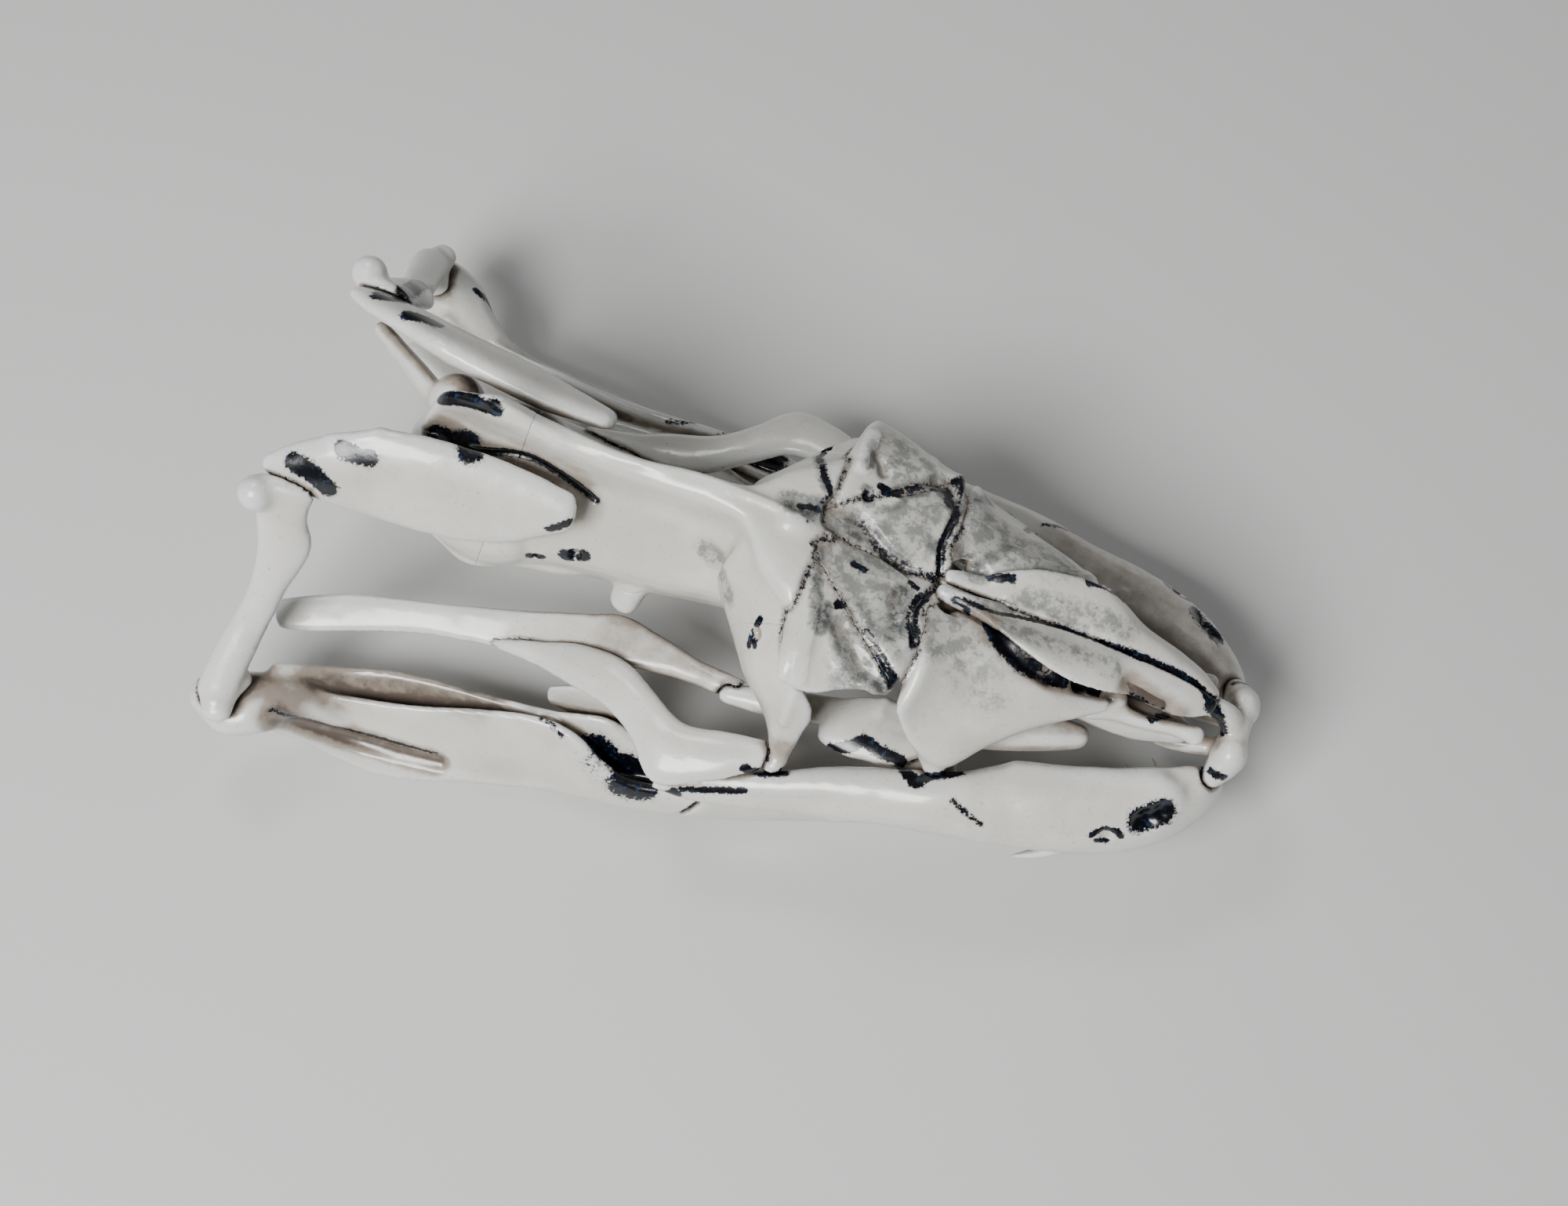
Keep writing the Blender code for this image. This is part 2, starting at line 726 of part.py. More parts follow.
def palatine(group):
    """The toothed bar of the palate, with its arms to the maxilla and to the vomer."""
    bar = rod(
        [
            ((0.6, -15.0, 12.2), 1.4, 1.3),
            ((6.0, -14.4, 12.2), 1.9, 1.7),
            ((16.0, -12.8, 12.2), 2.1, 1.9),
            ((26.0, -10.8, 12.4), 2.6, 2.0),
            ((36.0, -8.8, 12.6), 2.7, 2.2),
            ((43.0, -7.0, 12.8), 2.5, 2.2),
            ((46.8, -6.0, 12.6), 1.8, 1.7),
        ],
        group,
    )
    outer_arm = blade(
        [
            ((15.0, -11.6, 13.4), (14.6, -17.8, 12.8), 2.0, 0),
            ((18.0, -10.2, 13.8), (17.8, -18.8, 12.8), 2.2, 0.4),
            ((21.0, -9.6, 13.8), (21.0, -18.8, 13.0), 2.2, 0.5),
            ((26.0, -9.6, 13.4), (25.6, -18.2, 13.0), 2.0, 0.3),
            ((31.0, -9.4, 13.2), (30.6, -14.6, 13.0), 1.6, 0.2),
        ],
        group,
    )
    inner_arm = rod(
        [
            ((33.0, -8.6, 13.4), 3.8, 1.3),
            ((35.0, -5.8, 16.0), 3.2, 1.0),
            ((36.6, -3.4, 17.2), 2.4, 0.9),
        ],
        group,
    )
    gum = [(8.0, -14.2, 10.8), (26.0, -10.8, 10.8), (46.0, -6.4, 10.8)]
    teeth = tooth_row(gum, 7, 1.4, (3.2, 4.8), (0.45, 0.2), 0.95, group)
    return fuse("palatine_right", [bar, outer_arm, inner_arm] + teeth)


def pterygoid(group):
    """The long bone from the palate back to the jaw joint, widest behind its middle."""
    wing = blade(
        [
            ((2.4, -12.6, 12.8), (2.0, -15.8, 12.0), 2.6, 0),
            ((-4.0, -11.8, 12.6), (-4.0, -15.0, 11.6), 3.0, 0.3),
            ((-10.5, -10.0, 12.6), (-10.5, -15.0, 11.4), 3.2, 0.5),
            ((-16.3, -8.8, 12.8), (-16.3, -16.0, 11.2), 3.2, 0.8),
            ((-22.0, -10.2, 12.6), (-22.0, -17.4, 10.8), 3.0, 0.8),
            ((-30.0, -12.4, 12.4), (-30.0, -17.8, 10.4), 2.6, 0.6),
            ((-42.0, -14.9, 12.2), (-42.0, -19.2, 10.0), 2.4, 0.4),
            ((-53.0, -17.2, 12.0), (-52.0, -22.0, 9.8), 2.4, 0.4),
            ((-59.0, -19.4, 11.8), (-57.4, -23.8, 9.8), 2.4, 0.4),
            ((-62.8, -21.0, 11.4), (-61.0, -24.8, 9.8), 2.2, 0.2),
        ],
        group,
    )
    gum = [(-0.6, -14.0, 10.9), (-9.0, -12.9, 10.6), (-20.0, -13.4, 10.2)]
    teeth = tooth_row(gum[::-1], 7, 1.2, (2.4, 3.2), (0.45, 0.2), 0.8, group)
    return fuse("pterygoid_right", [wing] + teeth)


def ectopterygoid(group):
    """The strut from the pterygoid's outer edge to the rear of the maxilla."""
    return fuse(
        "ectopterygoid_right",
        [
            blade(
                [
                    ((-32.5, -16.8, 11.6), (-32.5, -18.3, 10.8), 1.2, 0),
                    ((-26.0, -15.8, 12.2), (-26.0, -18.9, 11.0), 2.2, 0),
                    ((-20.0, -14.6, 12.9), (-19.8, -20.5, 11.4), 2.9, 0.2),
                    ((-13.6, -15.2, 13.3), (-14.0, -22.0, 11.8), 3.3, 0.3),
                    ((-8.2, -18.4, 13.7), (-9.2, -25.2, 12.0), 3.2, 0.4),
                    ((-2.8, -21.4, 14.2), (-4.6, -29.8, 11.2), 3.0, 0.4),
                    ((3.4, -20.8, 14.6), (2.4, -28.0, 12.6), 2.8, 0.3),
                    ((9.0, -20.4, 14.8), (8.4, -24.8, 13.8), 2.2, 0),
                ],
                group,
            )
        ],
    )


def supratemporal(group):
    """The long blade on the side of the braincase that holds the quadrate behind it."""
    tip_x, tip_y, tip_z = SUPRATEMPORAL_TIP
    return fuse(
        "supratemporal_right",
        [
            blade(
                [
                    ((tip_x + 0.2, tip_y + 0.8, tip_z + 1.0), (tip_x + 0.6, tip_y - 1.0, tip_z - 1.4), 2.2, 0),
                    ((-58.0, -11.0, 40.2), (-57.2, -15.2, 35.4), 3.0, 0.2),
                    ((-52.0, -8.7, 42.2), (-51.4, -14.6, 33.6), 3.6, 0.4),
                    ((-45.5, -6.6, 43.2), (-45.0, -13.9, 32.0), 4.4, 0.2),
                    ((-38.0, -5.4, 42.0), (-37.6, -13.2, 31.0), 4.4, 0.2),
                    ((-30.5, -4.9, 40.0), (-30.2, -11.6, 31.0), 4.0, 0.2),
                    ((-22.4, -5.2, 37.8), (-22.6, -8.6, 33.2), 2.4, 0.5),
                ],
                group,
            )
        ],
    )


def quadrate(group):
    """The long bone that hangs the lower jaw from the supratemporal, splayed wide."""
    joint_x, joint_y, joint_z = JAW_JOINT
    shaft = blade(
        [
            ((-53.6, -15.0, 36.0), (-62.0, -16.2, 37.8), 3.8, 0),
            ((-54.8, -17.2, 32.8), (-61.4, -18.6, 34.0), 3.2, 0),
            ((-54.0, -19.8, 29.0), (-61.0, -21.8, 29.2), 2.8, 0.3),
            ((-57.2, -24.2, 23.2), (-62.1, -25.0, 23.8), 3.2, 0.3),
            ((-59.2, -27.4, 18.8), (-64.3, -28.4, 19.4), 3.6, 0),
            ((-60.8, -32.0, 14.8), (-66.4, -33.4, 15.4), 4.4, 0),
            ((joint_x + 2.8, joint_y + 1.4, joint_z + 2.0), (joint_x - 2.8, joint_y + 0.8, joint_z + 2.4), 5.0, 0),
        ],
        group,
    )
    condyle = rod(
        [
            ((joint_x + 0.8, joint_y - 2.0, joint_z + 1.2), 2.0, 1.6),
            ((joint_x, joint_y + 0.6, joint_z + 1.4), 2.6, 1.9),
            ((joint_x + 1.0, joint_y + 4.0, joint_z + 1.4), 2.6, 1.8),
        ],
        group,
    )
    head = knob((-60.8, -17.6, 37.0), (2.5, 2.5, 2.4), group)
    return fuse("quadrate_right", [shaft, condyle, head])


def compound_bone(group):
    """The rear of the lower jaw: two crests with the muscle trough between, and the joint cup."""
    outer_wall = blade(
        [
            ((-60.4, -34.8, 8.4), (-60.4, -37.0, 3.4), 2.8, 0),
            ((-55.6, -30.8, 6.6), (-55.6, -35.4, -3.4), 2.4, -0.8),
            ((-50.0, -29.5, 5.2), (-50.2, -35.4, -6.4), 2.4, -1.4),
            ((-41.8, -28.1, 5.4), (-41.4, -34.9, -7.4), 2.4, -1.2),
            ((-32.2, -25.9, 6.5), (-31.9, -32.0, -7.2), 2.6, -0.5),
            ((-23.0, -24.6, 7.6), (-21.4, -29.9, -6.2), 2.8, 0),
            ((-17.4, -25.3, 6.6), (-16.0, -29.4, -5.6), 2.8, 0),
            ((-11.0, -27.4, 2.4), (-10.5, -28.8, -5.2), 2.6, 0),
            ((-3.0, -26.4, 1.0), (-3.0, -27.6, -4.8), 2.4, 0),
            ((4.0, -24.4, 0.6), (4.0, -25.4, -3.6), 2.0, 0),
        ],
        group,
    )
    inner_wall = blade(
        [
            ((-60.0, -29.4, 9.2), (-60.0, -32.4, 2.8), 3.2, 0),
            ((-52.8, -25.8, 5.8), (-52.0, -30.4, -3.0), 2.3, 0),
            ((-44.4, -23.6, 5.2), (-44.0, -29.4, -4.4), 2.1, 0),
            ((-34.4, -23.0, 5.0), (-34.0, -27.9, -4.2), 2.1, 0),
            ((-23.4, -22.6, 5.8), (-23.0, -26.4, -3.9), 2.3, 0),
            ((-14.4, -21.6, 7.0), (-14.0, -25.6, -3.6), 2.3, 0),
            ((-8.8, -22.2, 3.6), (-8.5, -25.4, -3.3), 2.2, 0),
            ((-3.0, -22.4, 2.2), (-3.0, -24.8, -3.1), 2.0, 0),
            ((3.0, -22.2, 1.0), (3.0, -23.8, -2.8), 1.7, 0),
        ],
        group,
    )
    base = rod(
        [
            ((-60.5, -34.0, 5.0), 3.2, 2.6),
            ((-56.0, -32.6, -0.6), 3.0, 2.6),
            ((-50.0, -32.0, -4.2), 2.8, 2.1),
            ((-40.0, -30.8, -5.2), 3.0, 1.9),
            ((-30.0, -29.4, -4.9), 2.8, 1.8),
            ((-20.0, -27.7, -4.0), 2.4, 1.8),
            ((-8.0, -26.8, -2.1), 2.0, 1.6),
            ((1.0, -25.0, -1.5), 1.4, 1.3),
        ],
        group,
    )
    cup = rod(
        [
            ((-51.0, -31.2, -0.4), 1.4, 1.8),
            ((-56.0, -31.8, 3.6), 3.0, 3.6),
            ((-60.5, -34.4, 6.4), 4.4, 3.4),
            ((-65.0, -36.4, 7.2), 4.4, 2.6),
            ((JAW_REAR + 1.4, -36.6, 9.0), 2.6, 2.4),
        ],
        group,
    )
    rear_knob = knob((JAW_REAR + 2.4, -36.4, 10.6), (1.9, 2.4, 2.2), group)
    return fuse("compound_bone_right", [outer_wall, inner_wall, base, cup, rear_knob])


def coronoid(group):
    """The thin plate with an uneven top on the inner side of the lower jaw."""
    return fuse(
        "coronoid_right",
        [
            blade(
                [
                    ((-23.6, -19.8, 7.4), (-23.6, -20.9, 3.4), 1.2, 0),
                    ((-18.8, -19.4, 10.2), (-18.8, -20.8, 1.0), 1.6, 0),
                    ((-15.8, -19.3, 8.6), (-15.8, -20.7, 0.0), 1.6, 0),
                    ((-12.6, -19.4, 8.8), (-12.6, -20.8, -0.8), 1.6, 0),
                    ((-8.8, -20.4, 3.6), (-8.8, -21.2, -1.6), 1.5, 0),
                    ((-3.0, -20.6, 2.2), (-3.0, -21.4, -2.0), 1.4, 0),
                    ((3.0, -20.4, 1.4), (3.0, -20.9, -2.2), 1.1, 0),
                ],
                group,
            )
        ],
    )


def dentary(group):
    """The front of the lower jaw, bowed in to the chin, with its row of upright teeth."""
    bar = blade(
        [
            ((-9.0, -27.8, 0.1), (-9.2, -29.2, -3.1), 1.2, 0),
            ((-2.0, -26.2, 0.9), (-2.2, -27.8, -3.9), 2.4, 0),
            ((5.0, -23.2, 1.3), (4.8, -25.4, -5.6), 3.2, 0),
            ((13.0, -20.4, 1.7), (12.8, -22.4, -6.4), 3.8, 0),
            ((22.0, -17.4, 1.7), (22.0, -19.2, -6.9), 4.0, 0),
            ((31.0, -14.8, 1.5), (31.0, -16.2, -7.0), 4.0, 0),
            ((40.0, -12.2, 1.3), (40.0, -13.6, -6.9), 3.9, 0),
            ((49.0, -9.4, 1.3), (49.0, -10.4, -6.2), 3.7, 0),
            ((56.5, -6.6, 1.7), (56.5, -7.0, -5.0), 3.5, 0),
            ((61.5, -3.0, 2.3), (61.5, -3.0, -2.1), 3.0, 0),
        ],
        group,
    )
    gum = [
        (7.0, -22.2, 0.9),
        (16.0, -19.0, 1.3),
        (28.0, -15.4, 1.2),
        (40.0, -12.2, 0.9),
        (52.0, -8.2, 1.1),
        (60.6, -3.4, 1.9),
    ]
    teeth = tooth_row(gum, 16, 1.6, (-2.6, -5.2), (0.45, 0.8), 1.05, group)
    return fuse("dentary_right", [bar] + teeth)


def part_neighbours(bones, cutters):
    """Cuts each bone clear of those that it meets, in an order that keeps the outer forms whole."""
    jaw_split = (-1.0, 0, -1.5)
    part_along(bones["dentary"], bones["compound_bone"], jaw_split, (0.77, 0, -0.64), cutters)
    forms = {name: grown(bone, cutters) for name, bone in bones.items()}
    for name in ("nasal", "parietal"):
        forms["other_" + name] = mirrored(forms[name], "other_" + name, cutters)
    order = (
        ("frontal", "parietal", "basisphenoid", "postorbital", "prefrontal", "nasal"),
        ("supraorbital", "parietal", "other_parietal", "postorbital", "frontal", "prefrontal"),
        ("prefrontal", "maxilla"),
        ("nasal", "prefrontal"),
        ("premaxilla", "nasal", "other_nasal"),
        ("maxilla", "premaxilla"),
        ("postorbital", "maxilla"),
        ("septomaxilla", "nasal", "premaxilla", "prefrontal"),
        ("vomer", "premaxilla", "septomaxilla", "basisphenoid"),
        ("palatine", "maxilla", "vomer", "basisphenoid"),
        ("pterygoid", "palatine", "basisphenoid"),
        ("ectopterygoid", "maxilla", "pterygoid", "postorbital"),
        ("supratemporal", "parietal", "occiput"),
        ("quadrate", "supratemporal"),
        ("compound_bone", "quadrate", "pterygoid", "ectopterygoid", "maxilla"),
        ("coronoid", "compound_bone", "ectopterygoid", "dentary"),
        ("dentary", "maxilla"),
    )
    for name, *others in order:
        for other in others:
            cut_clear(bones[name], forms[other], cutters)


def flatten_underside(bodies, cutters):
    """Ends the lower jaws at the floor, on small flats at one level."""
    for body in bodies:
        end_at(body, (0, 0, FLOOR), (0, 0, -1), cutters)


def bone_material(name):
    material = bpy.data.materials.new(name)
    material.use_nodes = True
    shader = material.node_tree.nodes["Principled BSDF"]
    shader.inputs["Base Color"].default_value = BONE_COLOUR
    shader.inputs["Roughness"].default_value = 0.32
    shader.inputs["Metallic"].default_value = 0.0
    return material


def centre_and_shade(bodies):
    """Puts the origin on the floor below the middle of the skull's length, and shades it."""
    xs = [v.co.x for body in bodies for v in body.data.vertices]
    middle = (min(xs) + max(xs)) / 2
    for body in bodies:
        for v in body.data.vertices:
            v.co.x -= middle
            v.co.z -= FLOOR * MM
        body.data.materials.clear()
        body.data.materials.append(bone_material(body.name))
        body.data.shade_smooth()
        body.data.set_sharp_from_angle(angle=math.radians(40))


def main():
    clear_scene()
    skull = new_collection("python_skull")
    cutters = new_collection("cutters")

    parietal, occiput, sphenoid, bar = braincase(skull, cutters)
    snout = premaxilla(skull)
    paired = [
        bar,
        *frontal(skull, cutters),
        nasal(skull, cutters),
        prefrontal(skull),
        vomer(skull, cutters),
        septomaxilla(skull, cutters),
        maxilla(skull),
        palatine(skull),
        pterygoid(skull),
        ectopterygoid(skull),
        supratemporal(skull),
        quadrate(skull),
        compound_bone(skull),
        coronoid(skull),
        dentary(skull),
    ]
    single = [parietal, occiput, sphenoid, snout]
    bones = {bone.name.replace("_right", ""): bone for bone in single + paired}
    part_neighbours(bones, cutters)
    flatten_underside([bones["compound_bone"], bones["dentary"]], cutters)

    for item in list(cutters.objects):
        bpy.data.objects.remove(item, do_unlink=True)
    left = [mirrored(bone, bone.name.replace("_right", "_left"), skull) for bone in paired]
    centre_and_shade(single + paired + left)


main()
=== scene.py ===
"""Looks of the python skull: every bone again in fine detail, with its paint, on a pale floor.

Stations are in millimetres in the same frame as the solids' source, on the animal's right at
negative Y. finish_bone() moves them onto the frame, in metres.
"""

import contextlib
import json
import math
import random

import bmesh
import bpy
import numpy as np
from mathutils import Matrix, Vector, noise
from mathutils.bvhtree import BVHTree

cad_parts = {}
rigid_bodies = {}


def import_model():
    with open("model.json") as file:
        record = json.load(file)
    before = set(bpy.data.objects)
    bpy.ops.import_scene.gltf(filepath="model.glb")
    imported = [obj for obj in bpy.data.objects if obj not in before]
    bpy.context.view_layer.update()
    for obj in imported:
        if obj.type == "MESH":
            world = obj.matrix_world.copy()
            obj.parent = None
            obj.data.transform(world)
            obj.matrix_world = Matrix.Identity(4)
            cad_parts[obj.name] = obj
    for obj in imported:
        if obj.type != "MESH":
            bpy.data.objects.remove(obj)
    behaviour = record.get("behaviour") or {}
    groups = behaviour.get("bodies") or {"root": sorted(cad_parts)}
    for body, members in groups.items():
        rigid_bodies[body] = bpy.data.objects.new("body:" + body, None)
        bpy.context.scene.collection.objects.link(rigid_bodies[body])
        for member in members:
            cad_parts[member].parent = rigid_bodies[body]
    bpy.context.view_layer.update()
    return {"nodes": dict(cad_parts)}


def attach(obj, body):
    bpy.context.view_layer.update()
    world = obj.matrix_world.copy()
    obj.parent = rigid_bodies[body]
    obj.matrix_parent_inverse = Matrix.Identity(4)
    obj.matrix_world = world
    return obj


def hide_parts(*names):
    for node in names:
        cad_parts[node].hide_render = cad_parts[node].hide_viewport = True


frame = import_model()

MM = 0.001

# Sizes shared with the solids, in millimetres
JAW_REAR = -68.8
SNOUT = 68.2
CREST_TOP = 45.8
JOINT_SPREAD = 37.2
FLOOR = -6.6
MIDDLE = -0.6581
GAP = 0.14
MIDLINE_GAP = 0.07
HAIRLINE = 0.05
CUT_BOX = 300.0
TOOTH_SEED = 11
JAW_JOINT = (-64.5, -JOINT_SPREAD, 10.0)
SUPRATEMPORAL_TIP = (-61.0, -13.6, 38.2)
BAR_TOP = ((4.0, -11.8, 29.0), (0.15, -0.95, -0.27))

# The one skin of the braincase and the roof, and the bones that it is parted into
BRAINCASE = ("parietal", "occiput", "basisphenoid", "postorbital")
ROOF = ("prefrontal", "frontal", "supraorbital")
CLOSING = 0.12
REACH_OUT = 0.35

# How finely a shape is drawn
SECTION_SIDES = 22
RINGS_PER_STATION = 6
TOOTH_SIDES = 12
FINE_BONES = ("premaxilla", "septomaxilla", "coronoid", "vomer", "nasal", *BRAINCASE, *ROOF)
VOXEL = 0.4
FINE_VOXEL = 0.3

# The rays that find the hollows for the painted shade, and how far they reach
HOLLOW_RAYS = 6
HOLLOW_REACH = 16.0

# The camera, fitted to paired places on the photographed skull: degrees, then millimetres
CAMERA_TURN, CAMERA_RAISED, CAMERA_ROLL = 21.4359, 64.4663, -2.5911
CAMERA_OFFSETS = (3.1212, 4.3426, 289.77)
CAMERA_LENS = 46.777
SENSOR_WIDTH = 36.0
PHOTO_SIZE = (2000, 1538)

# A mark that lies wholly this far to the right is put on the left side too
OFF_MIDLINE = -6

# How near another bone leaves wash in the seam, and the distance where none is near
SEAM_REACH = 1.4
FAR = 9.0

# Lumps of the skin: height, size and seed
SWELLS = ((0.16, 6.0, 1), (0.04, 2.2, 2))
WRINKLE_SWELL, WRINKLE_DEPTH, CRINKLE_DEPTH = 0.3, 0.12, 0.05

# Paint, from the ivory down to the wash. The bluish rim colour is a painted highlight, the olives are grey
# paint that also carries painted shade, and the browns are painted shade
IVORY = (0.62, 0.605, 0.545)
DULL_IVORY = (0.52, 0.505, 0.45)
RIM_HIGHLIGHT = (0.75, 0.775, 0.79)
OLIVE = (0.16, 0.166, 0.155)
DARK_OLIVE = (0.04, 0.042, 0.044)
BROWN = (0.24, 0.19, 0.145)
DARK_BROWN = (0.07, 0.052, 0.042)
SMEAR = (0.085, 0.082, 0.085)
BLACK_WASH = (0.0012, 0.0016, 0.0035)
NAVY_WASH = (0.012, 0.03, 0.075)

# The floor and the lamps: name, place, size and power
FLOOR_HALF = 1.6
FLOOR_PAINT = (0.57, 0.57, 0.56)
LAMPS = (
    ("key", (-0.12, -0.42, 0.50), 0.28, 7.0),
    ("fill", (0.45, 0.45, 0.40), 0.4, 0.45),
    ("window", (-0.25, 0.25, 0.65), 0.16, 1.0),
)
LAMPS_FACE = (0, 0, 0.02)
SURROUND, SURROUND_STRENGTH = (0.9, 0.93, 1.0), 0.07

TEETH = {}


def kind_of(name):
    """A bone's name without its side."""
    for ending in ("_bone", "_right", "_left"):
        name = name.removesuffix(ending)
    return name


def placed(name, data):
    """A new object with that data, put into the scene."""
    item = bpy.data.objects.new(name, data)
    bpy.context.scene.collection.objects.link(item)
    return item


def put(name, vertices, faces):
    """Makes an object from points in millimetres."""
    mesh = bpy.data.meshes.new(name)
    mesh.from_pydata([tuple(c * MM for c in v) for v in vertices], [], faces)
    return placed(name, mesh)


@contextlib.contextmanager
def edited(mesh):
    """The mesh, open for changes that are written back at the end."""
    shape = bmesh.new()
    shape.from_mesh(mesh)
    yield shape
    shape.to_mesh(mesh)
    shape.free()


def smooth_path(rows, per_station):
    """Adds rows between given rows along a Catmull-Rom curve."""
    rows = np.array(rows, float)
    ends = np.vstack([2 * rows[0] - rows[1], rows, 2 * rows[-1] - rows[-2]])
    made = []
    for i in range(1, len(ends) - 2):
        p0, p1, p2, p3 = ends[i - 1 : i + 3]
        for k in range(per_station):
            t = k / per_station
            bend = 2 * p0 - 5 * p1 + 4 * p2 - p3
            turn = 3 * p1 - p0 - 3 * p2 + p3
            made.append(0.5 * (2 * p1 + (p2 - p0) * t + bend * t * t + turn * t**3))
    made.append(rows[-1])
    return np.array(made)


def unit(vector):
    """The vector at length one."""
    return vector / max(np.linalg.norm(vector), 1e-9)


def section(centre, span, normal, thickness, bow):
    """A flattened oval across the path. bow raises its middle along the normal."""
    ring = []
    for k in range(SECTION_SIDES):
        angle = 2 * math.pi * k / SECTION_SIDES
        along = math.cos(angle)
        across = math.copysign(abs(math.sin(angle)) ** 0.85, math.sin(angle))
        lift = across * thickness / 2 + bow * (1 - along * along)
        ring.append(centre + span * along + normal * lift)
    return ring


def blade(stations):
    """A loft through stations of (one edge, other edge, thickness, bow), closed with round ends.

    With the path towards the snout and the inner edge first, the normal faces outwards.
    """
    rows = [list(a) + list(b) + [thickness, bow] for a, b, thickness, bow in stations]
    rows = smooth_path(rows, RINGS_PER_STATION)
    centres = (rows[:, 0:3] + rows[:, 3:6]) / 2
    tangents = np.gradient(centres, axis=0)
    rings = []
    for row, centre, tangent in zip(rows, centres, tangents):
        span = (row[0:3] - row[3:6]) / 2
        normal = unit(np.cross(tangent, span))
        rings.append(section(centre, span, normal, max(row[6], 0.4), row[7]))
    first, last = rings[0], rings[-1]
    for at, ring, sign in ((0, first, -1), (-1, last, 1)):
        centre = np.mean(ring, axis=0)
        reach = 0.42 * min(rows[at][6], np.linalg.norm(rows[at][0:3] - rows[at][3:6]))
        for turn in (30, 55, 75):
            angle = math.radians(turn)
            step = unit(tangents[at]) * sign * reach * math.sin(angle)
            cap = [centre + (p - centre) * math.cos(angle) + step for p in ring]
            rings.insert(0, cap) if at == 0 else rings.append(cap)
    return loft(rings)


def crested(stations):
    """A loft along X of rounded teardrop sections about the midline.

    A station is (x, underside, widest level, half width, crest foot, crest half width, top).
    """
    rings = []
    for x, under, wide_z, half, foot, crest, top in smooth_path(stations, RINGS_PER_STATION):
        flank = (half + crest) / 2 + 0.1 * half, (wide_z + foot) / 2
        right = [
            (0.0, under),
            (0.70 * half, under + 0.15 * (wide_z - under)),
            (half, wide_z),
            flank,
            (crest * 1.25, foot),
            (crest, foot + 0.8 * (top - foot)),
            (0.0, top),
        ]
        line = smooth_path(right, 4)
        ring = [(x, y, z) for y, z in line] + [(x, -y, z) for y, z in line[-2:0:-1]]
        rings.append([np.array(p) for p in ring])
    return loft(rings)


def loft(rings):
    """A closed body through rings with equal numbers of points."""
    sides = len(rings[0])
    vertices = [tuple(p) for ring in rings for p in ring]
    faces = [tuple(range(sides))[::-1]]
    for r in range(len(rings) - 1):
        for k in range(sides):
            here = r * sides + k
            beside = r * sides + (k + 1) % sides
            faces.append((here, beside, beside + sides, here + sides))
    faces.append(tuple((len(rings) - 1) * sides + k for k in range(sides)))
    body = put("piece", vertices, faces)
    face_outwards(body)
    return body


def rod(stations):
    """A loft through stations of (centre, half width, half height)."""
    centres = np.array([s[0] for s in stations], float)
    tangents = np.gradient(centres, axis=0)
    rows = []
    for (centre, half_width, half_height), tangent in zip(stations, tangents):
        tangent = unit(tangent)
        up = np.array((0.0, 0.0, 1.0)) if abs(tangent[2]) < 0.9 else np.array((1.0, 0.0, 0.0))
        side = unit(np.cross(up, tangent)) * half_width
        rows.append((np.array(centre) + side, np.array(centre) - side, 2 * half_height, 0.0))
    return blade(rows)


def knob(centre, radii):
    """An ellipsoid, for condyles, lobes and bulges."""
    mesh = bpy.data.meshes.new("knob")
    with edited(mesh) as shape:
        bmesh.ops.create_icosphere(shape, subdivisions=4, radius=1.0)
        for v in shape.verts:
            v.co = [(c + r * p) * MM for c, r, p in zip(centre, radii, v.co)]
    return placed("knob", mesh)


def tooth(root, tip, curl, radius):
    """A pointed cone that bends. curl moves its middle off the straight line."""
    root, tip = np.array(root, float), np.array(tip, float)
    middle = (root + tip) / 2 + np.array(curl, float)
    axis = unit(tip - root)
    side = unit(np.cross(axis, (0.0, 1.0, 0.0)))
    other = np.cross(axis, side)
    rings = []
    for t in np.linspace(0, 0.97, 11):
        width = (1 - t) ** 0.75
        centre = root * (1 - t) ** 2 + middle * 2 * t * (1 - t) + tip * t * t
        ring = []
        for k in range(TOOTH_SIDES):
            angle = 2 * math.pi * k / TOOTH_SIDES
            arm = side * math.cos(angle) + other * math.sin(angle)
            ring.append(centre + arm * radius * width)
        rings.append(ring)
    body = loft(rings)
    body.name = "tooth"
    return body


def tooth_row(line, count, sink, lengths, lean, radius):
    """Teeth along a jaw. line has the gum points, lengths the first and last tooth's length.

    A length below zero points up. lean is how far the tip goes rearwards and inwards.
    """
    draw = random.Random(TOOTH_SEED)
    gum = smooth_path(line, 6)
    steps = np.linalg.norm(np.diff(gum, axis=0), axis=1)
    along = np.concatenate(([0.0], np.cumsum(steps)))
    row = []
    for i in range(count):
        share = (i + 0.5) / count
        where = share * along[-1] + draw.uniform(-0.3, 0.3)
        spot = np.array([np.interp(where, along, gum[:, axis]) for axis in range(3)])
        length = lengths[0] + (lengths[1] - lengths[0]) * share
        length *= draw.uniform(0.88, 1.08)
        down = -1.0 if length > 0 else 1.0
        root = spot - np.array((0.0, 0.0, down)) * sink
        tip = spot + np.array((-lean[0] * abs(length), lean[1], down * abs(length)))
        curl = (0.16 * abs(length), 0.0, 0.0)
        thick = radius * (0.7 + 0.3 * abs(length) / max(abs(x) for x in lengths))
        row.append(tooth(root, tip, curl, thick))
    return row


def face_outwards(body):
    """Turns all faces to the outside."""
    with edited(body.data) as shape:
        bmesh.ops.recalc_face_normals(shape, faces=shape.faces)
        if shape.calc_volume(signed=True) < 0:
            bmesh.ops.reverse_faces(shape, faces=shape.faces)


def apply_modifiers(body):
    """Puts the evaluated mesh in the place of the object's own."""
    graph = bpy.context.evaluated_depsgraph_get()
    mesh = bpy.data.meshes.new_from_object(body.evaluated_get(graph))
    body.modifiers.clear()
    body.data = mesh


